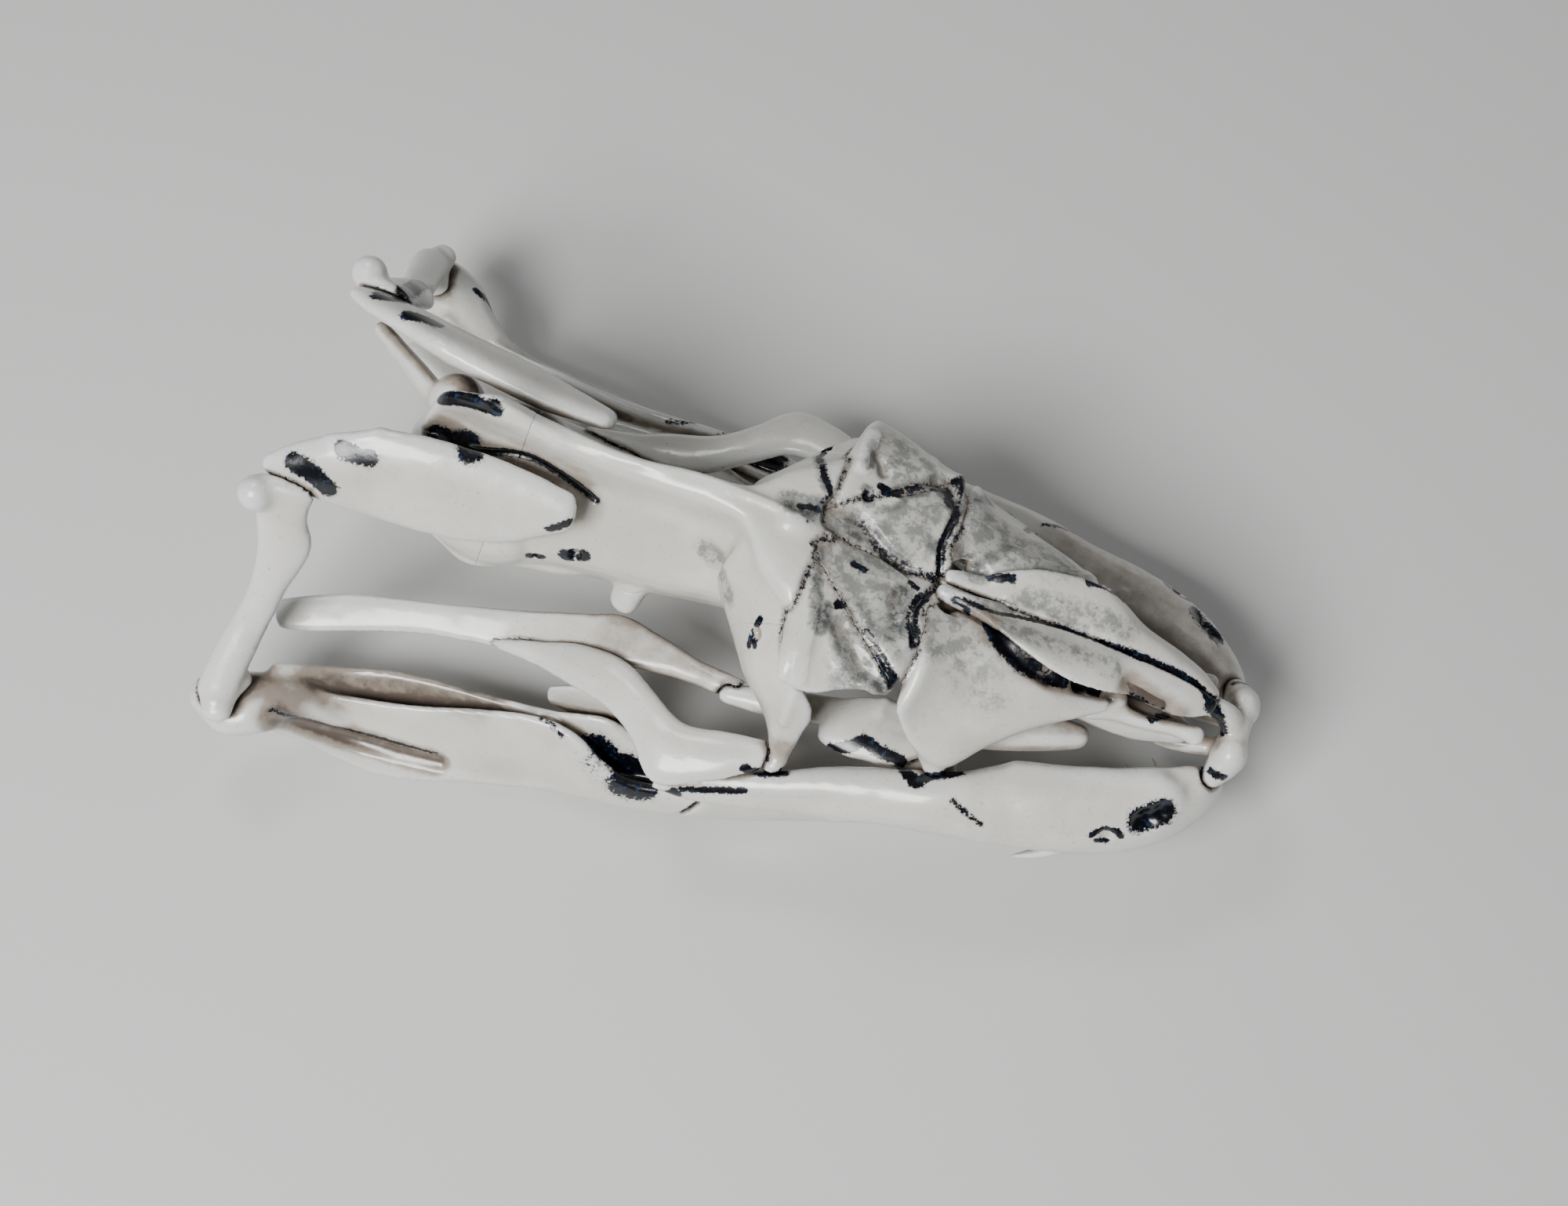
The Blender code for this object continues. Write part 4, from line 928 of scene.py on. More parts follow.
def coronoid():
    """The thin plate with an uneven top on the inner side of the lower jaw."""
    return fuse("coronoid_right_bone", [
        blade([
            ((-23.6, -19.8, 7.4), (-23.6, -20.9, 3.4), 1.2, 0),
            ((-18.8, -19.4, 10.2), (-18.8, -20.8, 1.0), 1.6, 0),
            ((-15.8, -19.3, 8.6), (-15.8, -20.7, 0.0), 1.6, 0),
            ((-12.6, -19.4, 8.8), (-12.6, -20.8, -0.8), 1.6, 0),
            ((-8.8, -20.4, 3.6), (-8.8, -21.2, -1.6), 1.5, 0),
            ((-3.0, -20.6, 2.2), (-3.0, -21.4, -2.0), 1.4, 0),
            ((3.0, -20.4, 1.4), (3.0, -20.9, -2.2), 1.1, 0),
        ])
    ])


def dentary():
    """The front of the lower jaw, bowed in to the chin, with its row of upright teeth."""
    bar = blade([
        ((-9.0, -27.8, 0.1), (-9.2, -29.2, -3.1), 1.2, 0),
        ((-2.0, -26.2, 0.9), (-2.2, -27.8, -3.9), 2.4, 0),
        ((5.0, -23.2, 1.3), (4.8, -25.4, -5.6), 3.2, 0),
        ((13.0, -20.4, 1.7), (12.8, -22.4, -6.4), 3.8, 0),
        ((22.0, -17.4, 1.7), (22.0, -19.2, -6.9), 4.0, 0),
        ((31.0, -14.8, 1.5), (31.0, -16.2, -7.0), 4.0, 0),
        ((40.0, -12.2, 1.3), (40.0, -13.6, -6.9), 3.9, 0),
        ((49.0, -9.4, 1.3), (49.0, -10.4, -6.2), 3.7, 0),
        ((56.5, -6.6, 1.7), (56.5, -7.0, -5.0), 3.5, 0),
        ((61.5, -3.0, 2.3), (61.5, -3.0, -2.1), 3.0, 0),
    ])
    gum = [
        (7.0, -22.2, 0.9),
        (16.0, -19.0, 1.3),
        (28.0, -15.4, 1.2),
        (40.0, -12.2, 0.9),
        (52.0, -8.2, 1.1),
        (60.6, -3.4, 1.9),
    ]
    teeth = tooth_row(gum, 16, 1.6, (-2.6, -5.2), (0.45, 0.8), 1.05)
    return fuse("dentary_right_bone", [bar] + teeth)


def part_neighbours(bones):
    """Cuts each bone clear of those that it meets, in an order that keeps the outer forms whole.

    The braincase and the roof are still one skin here, by the name of parietal.
    """
    jaw_split = (-1.0, 0, -1.5)
    part_along(bones["dentary"], bones["compound_bone"], jaw_split, (0.77, 0, -0.64))
    toothed = {kind_of(name): row for name, row in TEETH.items()}
    forms = {name: [grown(bone)] for name, bone in bones.items()}
    for name, row in toothed.items():
        forms[name].append(grown(row))
    forms["other_nasal"] = [mirrored(forms["nasal"][0], "other_nasal")]
    order = (
        ("parietal", "maxilla"),
        ("nasal", "parietal"),
        ("premaxilla", "nasal", "other_nasal"),
        ("maxilla", "premaxilla"),
        ("septomaxilla", "nasal", "premaxilla", "parietal"),
        ("vomer", "premaxilla", "septomaxilla", "parietal"),
        ("palatine", "maxilla", "vomer", "parietal"),
        ("pterygoid", "palatine", "parietal"),
        ("ectopterygoid", "maxilla", "pterygoid", "parietal"),
        ("supratemporal", "parietal"),
        ("quadrate", "supratemporal"),
        ("compound_bone", "quadrate", "pterygoid", "ectopterygoid", "maxilla"),
        ("coronoid", "compound_bone", "ectopterygoid", "dentary"),
        ("dentary", "maxilla"),
    )
    for name, *others in order:
        for other in others:
            operands = [copy_of(form, "cutter") for form in forms[other]]
            if name == "parietal":
                operands += [mirrored(form, "cutter") for form in forms[other]]
            combine(bones[name], operands, "DIFFERENCE")
            if name in toothed and other != "premaxilla":
                combine(toothed[name], [copy_of(forms[other][0], "cutter")], "DIFFERENCE")
    for name in ("compound_bone", "dentary"):
        end_at(bones[name], (0, 0, FLOOR), (0, 0, -1))
    for form in [form for group in forms.values() for form in group]:
        bpy.data.objects.remove(form, do_unlink=True)


def braincase_with_roof(parts):
    """The braincase, the roof and the walls before the eyes as one skin, so that they run on."""
    pieces = [braincase()]
    for part in parts:
        wide = grown(part, CLOSING)
        pieces += [mirrored(wide, "part"), wide]
    return joined("parietal_bone", pieces)


def part_whole(whole, parts):
    """Parts the one skin into its bones, with hairline seams. Parts are the right side's forms."""
    bones = []
    for form in parts:
        name, form.name = form.name, "form"
        forms = ((form, "_right", -1), (mirrored(form, "form"), "_left", 1))
        for shape, side, turned in forms:
            bone = copy_of(whole, name.replace("_right", side))
            combine(bone, [grown(shape, REACH_OUT)], "INTERSECT")
            if kind_of(name) == "frontal":
                end_at(bone, (0, turned * HAIRLINE / 2, 0), (0, -turned, 0))
            bones.append(bone)
        combine(whole, [grown(shape, REACH_OUT + HAIRLINE) for shape, _, _ in forms], "DIFFERENCE")
        for shape, _, _ in forms:
            bpy.data.objects.remove(shape, do_unlink=True)
    for name, turned in (("postorbital_right_bone", 1), ("postorbital_left_bone", -1)):
        bar = copy_of(whole, name)
        (x, y, z), (ahead_x, ahead_y, ahead_z) = BAR_TOP
        part_along(bar, whole, (x, y * turned, z), (ahead_x, ahead_y * turned, ahead_z), HAIRLINE)
        bones.append(bar)
    occiput = copy_of(whole, "occiput_bone")
    part_along(whole, occiput, (-34.0, 0, 27.0), (1.0, 0, -0.3), HAIRLINE)
    sphenoid = copy_of(whole, "basisphenoid_bone")
    part_along(sphenoid, whole, (0, 0, 19.4), (0, 0, -1), HAIRLINE)
    for body in (whole, occiput, sphenoid, *bones):
        keep_largest(body)
    return occiput, sphenoid, *bones


# Marks on the bones. Each place is a pixel of the photograph, counted from its upper left corner

# Painted marks: half width, strength and the pixels that the brush runs through
STROKES = {
    "left nose seam": (0.55, 1, (
        (1200, 742), (1199, 729), (1200, 702), (1205, 685), (1213, 670), (1218, 658), (1222, 641),
        (1227, 611),
    )),
    "blot on the left nose seam": (1.2, 1, ((1214, 622), (1216, 640))),
    "left brow seam": (0.55, 0.85, ((1205, 626), (1180, 622), (1155, 629))),
    "right nose seam": (0.5, 1, ((1200, 743), (1184, 757), (1172, 768))),
    "foot of the right nose seam": (0.8, 1, (
        (1176, 764), (1166, 776), (1163, 790), (1165, 806), (1166, 820),
    )),
    "seam between the frontals": (0.8, 0.55, (
        (1058, 650), (1095, 665), (1110, 680), (1125, 705), (1145, 720), (1199, 743),
    )),
    "seam between the nasals": (0.4, 0.85, (
        (1205, 757), (1260, 778), (1300, 787), (1360, 803), (1420, 825), (1500, 858), (1525, 870),
    )),
    "outer left brow seam": (0.5, 0.5, ((1155, 625), (1135, 628), (1115, 636))),
    "left parietal seam": (0.5, 0.75, ((1045, 585), (1050, 600), (1055, 615), (1060, 630), (1050, 640))),
    "parietal tip's seam": (0.5, 0.8, ((1020, 645), (1050, 650), (1085, 662))),
    "right brow seam": (0.6, 1, (
        (1069, 771), (1084, 773), (1091, 782), (1096, 796), (1105, 811), (1116, 826), (1128, 846),
    )),
    "foot of the right brow seam": (0.8, 1, ((1128, 850), (1138, 870))),
    "dot on the left frontal": (0.8, 1, ((1107, 633),)),
    "dash on the right frontal": (0.5, 0.8, ((1088, 722), (1102, 728))),
    "dash at the right nose seam": (0.5, 0.7, ((1160, 746), (1170, 753))),
    "parietal tip's far edge": (0.45, 0.7, ((1030, 664), (1052, 658))),
    "parietal tip's near edge": (0.45, 0.7, ((1046, 682), (1036, 692))),
    "root of the right nasal": (0.5, 0.85, ((1215, 762), (1232, 774), (1245, 786))),
    "trench beside the right nasal": (1.2, 1, (
        (1248, 788), (1262, 800), (1280, 822), (1300, 842), (1322, 856),
    )),
    "front of the trench": (0.95, 1, ((1320, 856), (1350, 868), (1375, 876), (1400, 885))),
    "smear between the nasals": (0.6, 0.6, ((1400, 816), (1450, 835), (1510, 862))),
    "edge of the left nasal": (0.6, 0.9, ((1388, 744), (1410, 753), (1430, 764))),
    "dash on the left nasal": (0.6, 0.8, ((1262, 736), (1290, 738))),
    "dash on the left prefrontal": (0.5, 0.7, ((1308, 679), (1318, 683))),
    "nostril's edge": (0.6, 0.9, ((1436, 868), (1444, 884), (1460, 898), (1488, 912))),
    "foot of the supratemporal": (1.3, 0.95, ((378, 590), (392, 598), (405, 610), (418, 622))),
    "back of the supratemporal": (1.1, 0.9, ((438, 572), (455, 580), (472, 584))),
    "front of the supratemporal": (0.7, 0.75, ((702, 674), (726, 665))),
    "end of the crest": (1.1, 0.9, ((562, 505), (585, 508), (605, 512), (632, 520))),
    "hollow below the crest": (1.6, 0.85, ((560, 552), (580, 565), (600, 578))),
    "line along the supratemporal": (0.55, 1, ((602, 574), (667, 580), (714, 604), (759, 639))),
    "small opening in the braincase": (0.6, 0.95, ((676, 708), (692, 710))),
    "large opening in the braincase": (0.9, 1, ((722, 706), (746, 706))),
    "first scratch on the bar": (0.45, 0.95, ((972, 790), (966, 802), (966, 822))),
    "second scratch on the bar": (0.45, 0.9, ((962, 806), (956, 824))),
    "groove of the compound bone": (0.6, 0.85, (
        (345, 907), (400, 922), (440, 933), (500, 949), (555, 964),
    )),
    "scratch on the compound bone": (0.5, 0.5, ((690, 915), (705, 925), (718, 938))),
    "blot before the coronoid": (2.6, 1, ((760, 955), (785, 975), (815, 995))),
    "rear of the jaw seam": (0.9, 1, ((810, 1008), (860, 1012))),
    "middle of the jaw seam": (0.5, 0.8, ((870, 1007), (950, 1008))),
    "foot of the bar": (0.7, 0.8, ((950, 980), (975, 985), (1000, 985))),
    "streak below the eye": (0.8, 0.9, (
        (1060, 955), (1085, 952), (1103, 945), (1120, 958), (1148, 970), (1155, 985), (1172, 1000),
    )),
    "foot of the prefrontal": (0.7, 0.9, ((1165, 998), (1195, 988), (1225, 985))),
    "foot of the left supratemporal": (1.2, 0.85, ((515, 372), (538, 362))),
    "seam of the premaxilla": (0.6, 0.7, ((1545, 983), (1560, 990))),
    "top of the premaxilla": (0.9, 0.8, ((1543, 898), (1553, 913), (1560, 930))),
    "tip of the nose": (0.6, 0.85, ((1522, 872), (1538, 888), (1550, 892))),
    "large opening in the maxilla": (1.7, 1, ((1456, 1046), (1470, 1041), (1484, 1035))),
    "upper rim of the small opening": (0.45, 0.85, (
        (1392, 1062), (1404, 1056), (1422, 1058), (1430, 1066),
    )),
    "lower rim of the small opening": (0.4, 0.7, ((1396, 1068), (1412, 1071))),
    "scratch on the maxilla": (0.45, 0.6, ((1215, 1020), (1232, 1036), (1250, 1050))),
}

# Grooves below zero and ridges above: half width, height and the pixels they run through
RELIEF = {
    "left nose seam": (0.6, -0.7, (
        (1200, 742), (1199, 729), (1200, 702), (1205, 685), (1213, 670), (1218, 658), (1222, 641),
        (1220, 618),
    )),
    "right nose seam": (0.6, -0.7, (
        (1200, 743), (1184, 757), (1169, 770), (1163, 788), (1165, 805), (1166, 820),
    )),
    "seam between the frontals": (1.4, -0.9, (
        (1062, 650), (1090, 660), (1110, 682), (1130, 705), (1152, 724),
    )),
    "swelling of the left frontal": (5, 0.9, ((1150, 680),)),
    "swelling of the left prefrontal": (4.5, 0.8, ((1265, 690),)),
    "ridge of the right frontal": (1.4, 0.6, ((1080, 700), (1110, 715), (1140, 735))),
    "rear hollow of the right frontal": (1.8, -0.7, ((1100, 765), (1115, 785))),
    "front hollow of the right frontal": (1.6, -0.7, ((1145, 765), (1140, 795))),
    "hollow of the right brow": (1.8, -1, ((1075, 800), (1082, 820), (1098, 850))),
    "ridge of the right brow": (1, 0.4, ((1055, 800), (1066, 830), (1078, 855))),
    "ridge of the bar": (0.8, 0.5, (
        (1038, 700), (1038, 760), (1032, 800), (1021, 850), (1010, 890), (1000, 920),
    )),
    "right brow seam": (0.6, -0.6, ((1084, 773), (1091, 790), (1100, 810), (1116, 830), (1130, 850))),
    "rim of the right orbit": (0.7, 0.4, ((1100, 872), (1115, 880), (1130, 893))),
    "ridge of the left peak": (0.8, 1.2, ((1113, 555), (1107, 575), (1102, 595))),
    "left brow seam": (0.9, -0.8, ((1150, 630), (1175, 624), (1200, 612))),
    "pit on the left nose seam": (1.6, -1, ((1208, 618), (1216, 632))),
    "crease of the left brow": (0.6, -0.5, ((1108, 590), (1116, 580), (1124, 590), (1128, 604))),
    "ridge of the left brow": (1, 0.5, ((1140, 600), (1165, 600), (1190, 590))),
    "fold of the left prefrontal": (1.3, -0.6, ((1225, 700), (1240, 722), (1256, 730))),
    "line along the supratemporal": (0.5, -0.45, ((602, 574), (667, 580), (714, 604), (759, 639))),
    "ridge of the crest": (0.7, 0.5, (
        (620, 509), (700, 540), (800, 585), (880, 607), (950, 630), (1000, 650),
    )),
    "inner edge of the prefrontal": (1, 0.45, ((1180, 765), (1205, 760), (1240, 790), (1290, 842))),
    "ridge of the supratemporal": (0.9, 0.35, ((420, 560), (480, 553), (540, 545))),
    "ridge between the nasals": (0.7, 0.5, ((1205, 752), (1240, 765), (1300, 775), (1360, 795))),
    "groove of the compound bone": (1.5, -0.9, (
        (340, 914), (400, 931), (440, 943), (500, 959), (560, 973),
    )),
    "nostril": (1.6, -1.2, ((1445, 872), (1460, 888), (1482, 902))),
    "trench beside the right nasal": (1.2, -0.9, ((1248, 788), (1280, 823), (1305, 845), (1335, 862))),
    "tip of the parietal": (2.6, -1.1, ((1058, 675),)),
    "ridge of the maxilla": (1.6, 0.5, ((1300, 975), (1400, 988), (1470, 999), (1505, 1009))),
    "hollow of the maxilla": (1.6, -0.6, ((1498, 986), (1514, 1003))),
    "ridge of the left nasal": (0.7, 0.45, ((1285, 722), (1340, 724), (1390, 736), (1430, 752))),
}

# Pits: radius, depth and pixel
PITS = {
    "rear of the large opening": (1.7, 0.6, ((1458, 1047),)),
    "middle of the large opening": (1.7, 0.5, ((1472, 1041),)),
    "front of the large opening": (1.4, 0.4, ((1486, 1034),)),
    "small opening in the maxilla": (1, 0.4, ((1410, 1063),)),
    "dot on the left frontal": (0.8, 0.6, ((1107, 633),)),
    "large opening in the braincase": (0.9, 0.9, ((734, 706),)),
    "small opening in the braincase": (0.5, 0.5, ((683, 709),)),
    "scratch on the bar": (0.9, 0.8, ((966, 808),)),
}

# Where the paint is grey and stippled, and where this grey is painted shade in hollows, seams and on the far
# side: radius, strength and the pixels it runs through
GREY_PAINT_AND_SHADE = {
    "right frontal": (5, 0.5, ((1080, 690), (1108, 740), (1120, 800))),
    "left frontal": (4, 0.45, ((1150, 700), (1172, 640))),
    "left brow": (4, 0.4, ((1140, 580), (1172, 612))),
    "left prefrontal": (4.5, 0.45, ((1250, 670), (1290, 700), (1340, 722))),
    "rim of the right orbit": (3, 0.35, ((1078, 860), (1108, 880))),
    "root of the right prefrontal": (3.5, 0.38, ((1198, 785), (1228, 828))),
    "left nasal": (1.6, 0.4, ((1300, 760), (1380, 780), (1440, 805))),
    "right nasal": (1.6, 0.4, ((1290, 800), (1350, 826), (1420, 850))),
    "seam between the frontals": (1.3, 1, (
        (1072, 652), (1095, 662), (1110, 680), (1130, 705), (1152, 726),
    )),
    "near side of that seam": (1, 0.8, ((1064, 664), (1080, 676), (1098, 686))),
    "edge of the parietal": (0.9, 0.9, ((1048, 690), (1043, 730), (1040, 770), (1042, 800))),
    "corner of the right brow": (1, 0.85, ((1046, 800), (1056, 775))),
    "front hollow of the right frontal": (1.6, 0.95, ((1150, 755), (1143, 785), (1138, 805))),
    "rear hollow of the right frontal": (1.3, 0.7, ((1092, 768), (1120, 792))),
    "hollow of the right brow": (1.8, 0.85, ((1073, 795), (1083, 825), (1100, 858))),
    "foot of the right brow seam": (0.9, 0.9, ((1105, 862), (1120, 872), (1130, 886))),
    "front of the left brow": (3.2, 0.42, ((1130, 575), (1160, 590), (1185, 625))),
    "crease of the left brow": (0.8, 0.9, ((1108, 592), (1116, 582), (1124, 592), (1127, 606))),
    "left brow seam": (1.1, 1, ((1150, 628), (1178, 620), (1200, 612))),
    "pit on the left nose seam": (1.6, 1, ((1205, 615), (1218, 632), (1221, 652))),
    "dot on the left frontal": (0.9, 0.85, ((1105, 625), (1108, 642))),
    "edge of the left frontal": (0.7, 0.7, ((1122, 652), (1143, 649), (1155, 640))),
    "middle of the left frontal": (1.3, 0.55, ((1128, 676), (1140, 680))),
    "front of the left frontal": (1.2, 0.7, ((1185, 692), (1195, 700))),
    "rear of the left prefrontal": (3, 0.5, ((1240, 640), (1258, 680), (1242, 720))),
    "fold of the left prefrontal": (1.4, 0.8, ((1225, 690), (1235, 716), (1250, 730))),
    "corner of the left prefrontal": (1, 0.8, ((1246, 640), (1258, 642))),
    "front of the left prefrontal": (1.3, 0.65, ((1258, 715), (1290, 702))),
    "left parietal seam": (0.8, 0.6, ((1044, 585), (1050, 605), (1056, 630))),
    "tip of the parietal": (1.6, 0.9, ((1008, 640), (1034, 648), (1060, 650))),
    "right prefrontal": (3.5, 0.28, ((1200, 820), (1230, 845), (1262, 880))),
    "corner of the right prefrontal": (1.3, 0.5, ((1186, 822), (1200, 836))),
    "edge of the right prefrontal": (1.2, 0.45, ((1250, 802), (1262, 822))),
    "trench beside the right nasal": (1, 1, ((1240, 775), (1268, 798), (1300, 840), (1332, 862))),
    "root of the right nasal": (1.2, 0.5, ((1240, 770), (1300, 780))),
    "inner edge of the left nasal": (1, 0.6, ((1340, 790), (1380, 800))),
    "hollow below the crest": (1.2, 0.7, ((570, 560), (600, 575))),
    "root of the bar": (1.6, 0.45, ((900, 700), (930, 760))),
}

# Where painted shade lies brown in hollows and on the far side: radius, strength and the pixels it runs
# through
PAINTED_SHADE = {
    "trough of the jaw": (2.8, 1.2, ((400, 872), (470, 876), (540, 884), (620, 893))),
    "jaw joint": (2.4, 0.8, ((335, 868), (352, 888), (366, 902))),
    "shelf of the maxilla": (2.6, 0.8, ((1005, 955),)),
    "left maxilla": (6.5, 0.5, ((1380, 700), (1440, 740), (1500, 800), (1540, 850))),
    "trench beside the right nasal": (2, 0.7, ((1255, 792), (1300, 840), (1345, 866))),
    "nostril": (2.2, 0.8, ((1445, 878), (1470, 898), (1500, 912))),
    "right pterygoid": (3, 0.45, ((780, 812), (840, 832), (900, 852))),
    "groove of the compound bone": (2.2, 1.1, ((350, 917), (420, 936), (500, 958), (550, 971))),
}


def laid_down(points, tree, step=0.5):
    """Points every step along a path, each laid onto the nearest bone."""
    path = np.array(points, float)
    if len(points) > 1:
        path = smooth_path(points, 8)
        runs = np.concatenate(([0.0], np.cumsum(np.linalg.norm(np.diff(path, axis=0), axis=1))))
        places = np.arange(0, runs[-1] + step / 2, step)
        path = np.array([[np.interp(p, runs, path[:, axis]) for axis in range(3)] for p in places])
    return np.array([tree.find_nearest(Vector(point))[0] for point in path])


def distance_to(points, places, reach):
    """The distance from each point to the nearest place, or reach where none is nearer."""
    best = np.full(len(points), float(reach))
    if not len(places):
        return best
    low, high = places.min(axis=0) - reach, places.max(axis=0) + reach
    near = np.flatnonzero(np.all((points > low) & (points < high), axis=1))
    for at in range(0, len(near), 4000):
        chosen = near[at : at + 4000]
        gaps = np.linalg.norm(points[chosen][:, None, :] - places[None, :, :], axis=2)
        best[chosen] = np.minimum(gaps.min(axis=1), reach)
    return best


def soft_step(values, low, high):
    """A smooth rise from 0 at low to 1 at high."""
    t = np.clip((values - low) / (high - low), 0, 1)
    return t * t * (3 - 2 * t)


def lumps(points, size, seed):
    """Smooth noise from about -1 to 1 with hills of that size."""
    shift = Vector((seed * 7.31, seed * 3.17, seed * 5.53))
    return np.array([noise.noise(Vector(p / size) + shift) for p in points])


def patched(points, marks):
    """How grey and stippled the paint is at each point, painted shade included."""
    share = np.zeros(len(points))
    for radius, strength, places in marks["patches"]:
        gap = distance_to(points, places, radius * 1.7)
        share = np.maximum(share, strength * (1 - soft_step(gap, radius * 0.3, radius * 1.6)))
    return share


def carve(body, marks):
    """Moves the skin for grooves, ridges, pits, wrinkles and slight unevenness."""
    points = points_of(body.data)
    normals = normals_of(body.data)
    wrinkle = patched(points, marks)
    lift = sum(height * lumps(points, size, seed) for height, size, seed in SWELLS)
    if wrinkle.any():
        warp = points + 1.1 * np.stack([lumps(points, 4.0, s) for s in (5, 6, 7)], axis=1)
        veins = np.clip(1 - np.abs(lumps(warp, 4.6, 3)) * 4.0, 0, 1)
        fine = np.clip(1 - np.abs(lumps(warp, 1.8, 4)) * 3.5, 0, 1)
        lift += wrinkle * (WRINKLE_SWELL * lumps(warp, 4.0, 8) - WRINKLE_DEPTH * veins - CRINKLE_DEPTH * fine)
    for width, height, places in marks["relief"]:
        gap = distance_to(points, places, width * 2.5)
        lift += height * np.exp(-((gap / width) ** 2))
    for radius, depth, places in marks["pits"]:
        gap = distance_to(points, places, radius * 2.2)
        lift -= depth * (1 - soft_step(gap, radius * 0.45, radius * 1.25))
        lift += 0.12 * depth * np.exp(-(((gap - radius * 1.4) / (radius * 0.35)) ** 2))
    set_points(body.data, points + normals * lift[:, None])


def hollow_share(points, normals, tree):
    """How much of the sky round each point other bone hides, from 0 to 1."""
    draw = random.Random(5)
    turns = []
    while len(turns) < HOLLOW_RAYS:
        way = np.array([draw.uniform(-1, 1) for _ in range(3)])
        if 0.1 < np.linalg.norm(way) <= 1:
            turns.append(unit(way))
    ways = np.array(turns)
    hidden = np.zeros(len(points))
    for way in ways:
        lean = normals + way * 0.94
        lean /= np.linalg.norm(lean, axis=1)[:, None]
        starts = points + normals * 0.12
        for i in range(len(points)):
            hit = tree.ray_cast(Vector(starts[i]), Vector(lean[i]), HOLLOW_REACH)
            if hit[0] is not None:
                hidden[i] += 1 - hit[3] / HOLLOW_REACH * 0.6
    return hidden / len(ways)


def add_attribute(mesh, name, values):
    layer = mesh.attributes.new(name, "FLOAT", "POINT")
    layer.data.foreach_set("value", np.asarray(values, np.float32))


def paint(body, marks, everything, trees):
    """Works out where the wash lies, in seams, in hollows and along the named strokes, and where the painted
    shade and the painted rim highlight go.
    """
    mesh = body.data
    points = points_of(mesh)
    normals = normals_of(mesh)
    edges = edges_of(mesh)
    kind = kind_of(body.name)

    seam = np.full(len(points), FAR)
    low, high = points.min(axis=0) - SEAM_REACH, points.max(axis=0) + SEAM_REACH
    for name, (tree, box_low, box_high) in trees.items():
        if kind_of(name) in BRAINCASE and kind in BRAINCASE:
            continue
        if name == body.name or np.any(box_low > high) or np.any(box_high < low):
            continue
        inside = np.all((points > box_low - SEAM_REACH) & (points < box_high + SEAM_REACH), axis=1)
        for i in np.flatnonzero(inside):
            found = tree.find_nearest(Vector(points[i]), SEAM_REACH)
            if found[0] is not None:
                seam[i] = min(seam[i], found[3])

    rounds = 60
    blurred = relaxed(points, edges, rounds, 0.5)
    cavity = np.einsum("ij,ij->i", blurred - points, normals)
    tight = relaxed(points, edges, 5, 0.5)
    crease = np.einsum("ij,ij->i", tight - points, normals)
    hidden = relaxed(hollow_share(points, normals, everything), edges, 4, 0.5)

    ink = np.zeros(len(points))
    for width, strength, places in marks["strokes"]:
        gap = distance_to(points, places, width * 2.4)
        ink = np.maximum(ink, strength * (1 - soft_step(gap, width * 0.3, width * 1.7)))
    patchy = 0.5 + 0.5 * lumps(points, 4.0, 11)
    edge = (1 - soft_step(seam, 0.15, 0.8)) * (0.1 + 0.5 * patchy)
    ink = np.maximum(ink, edge)
    ink += 0.8 * np.clip(crease - 0.05, 0, 0.5)
    # Painted shade: darker where other bone hides the sky, in concave places, near seams and at the listed
    # places
    shade = 1.25 * np.clip(hidden - 0.12, 0, 1) ** 1.15 + 0.9 * np.clip(cavity, 0, 1.2)
    shade += 0.3 * (1 - soft_step(seam, 0.2, 1.2))
    for radius, strength, places in marks["hollows"]:
        gap = distance_to(points, places, radius * 1.8)
        shade += 0.6 * strength * (1 - soft_step(gap, radius * 0.3, radius * 1.7))
    # Painted highlight: convex rims are made lighter
    rim = np.clip(-cavity * 1.3, 0, 1)
    add_attribute(mesh, "ink", np.clip(ink, 0, 1))
    add_attribute(mesh, "shade", np.clip(shade, 0, 1))
    add_attribute(mesh, "rim", rim)
    add_attribute(mesh, "mottle", patched(points, marks))


def tree_of(bodies, shift=(0, 0, 0)):
    """A search tree over the skins of several bones, in millimetres."""
    vertices, faces, start = [], [], 0
    for body in bodies:
        points = points_of(body.data) + shift
        vertices.extend(points.tolist())
        faces.extend([tuple(v + start for v in f.vertices) for f in body.data.polygons])
        start += len(points)
    return BVHTree.FromPolygons(vertices, faces)


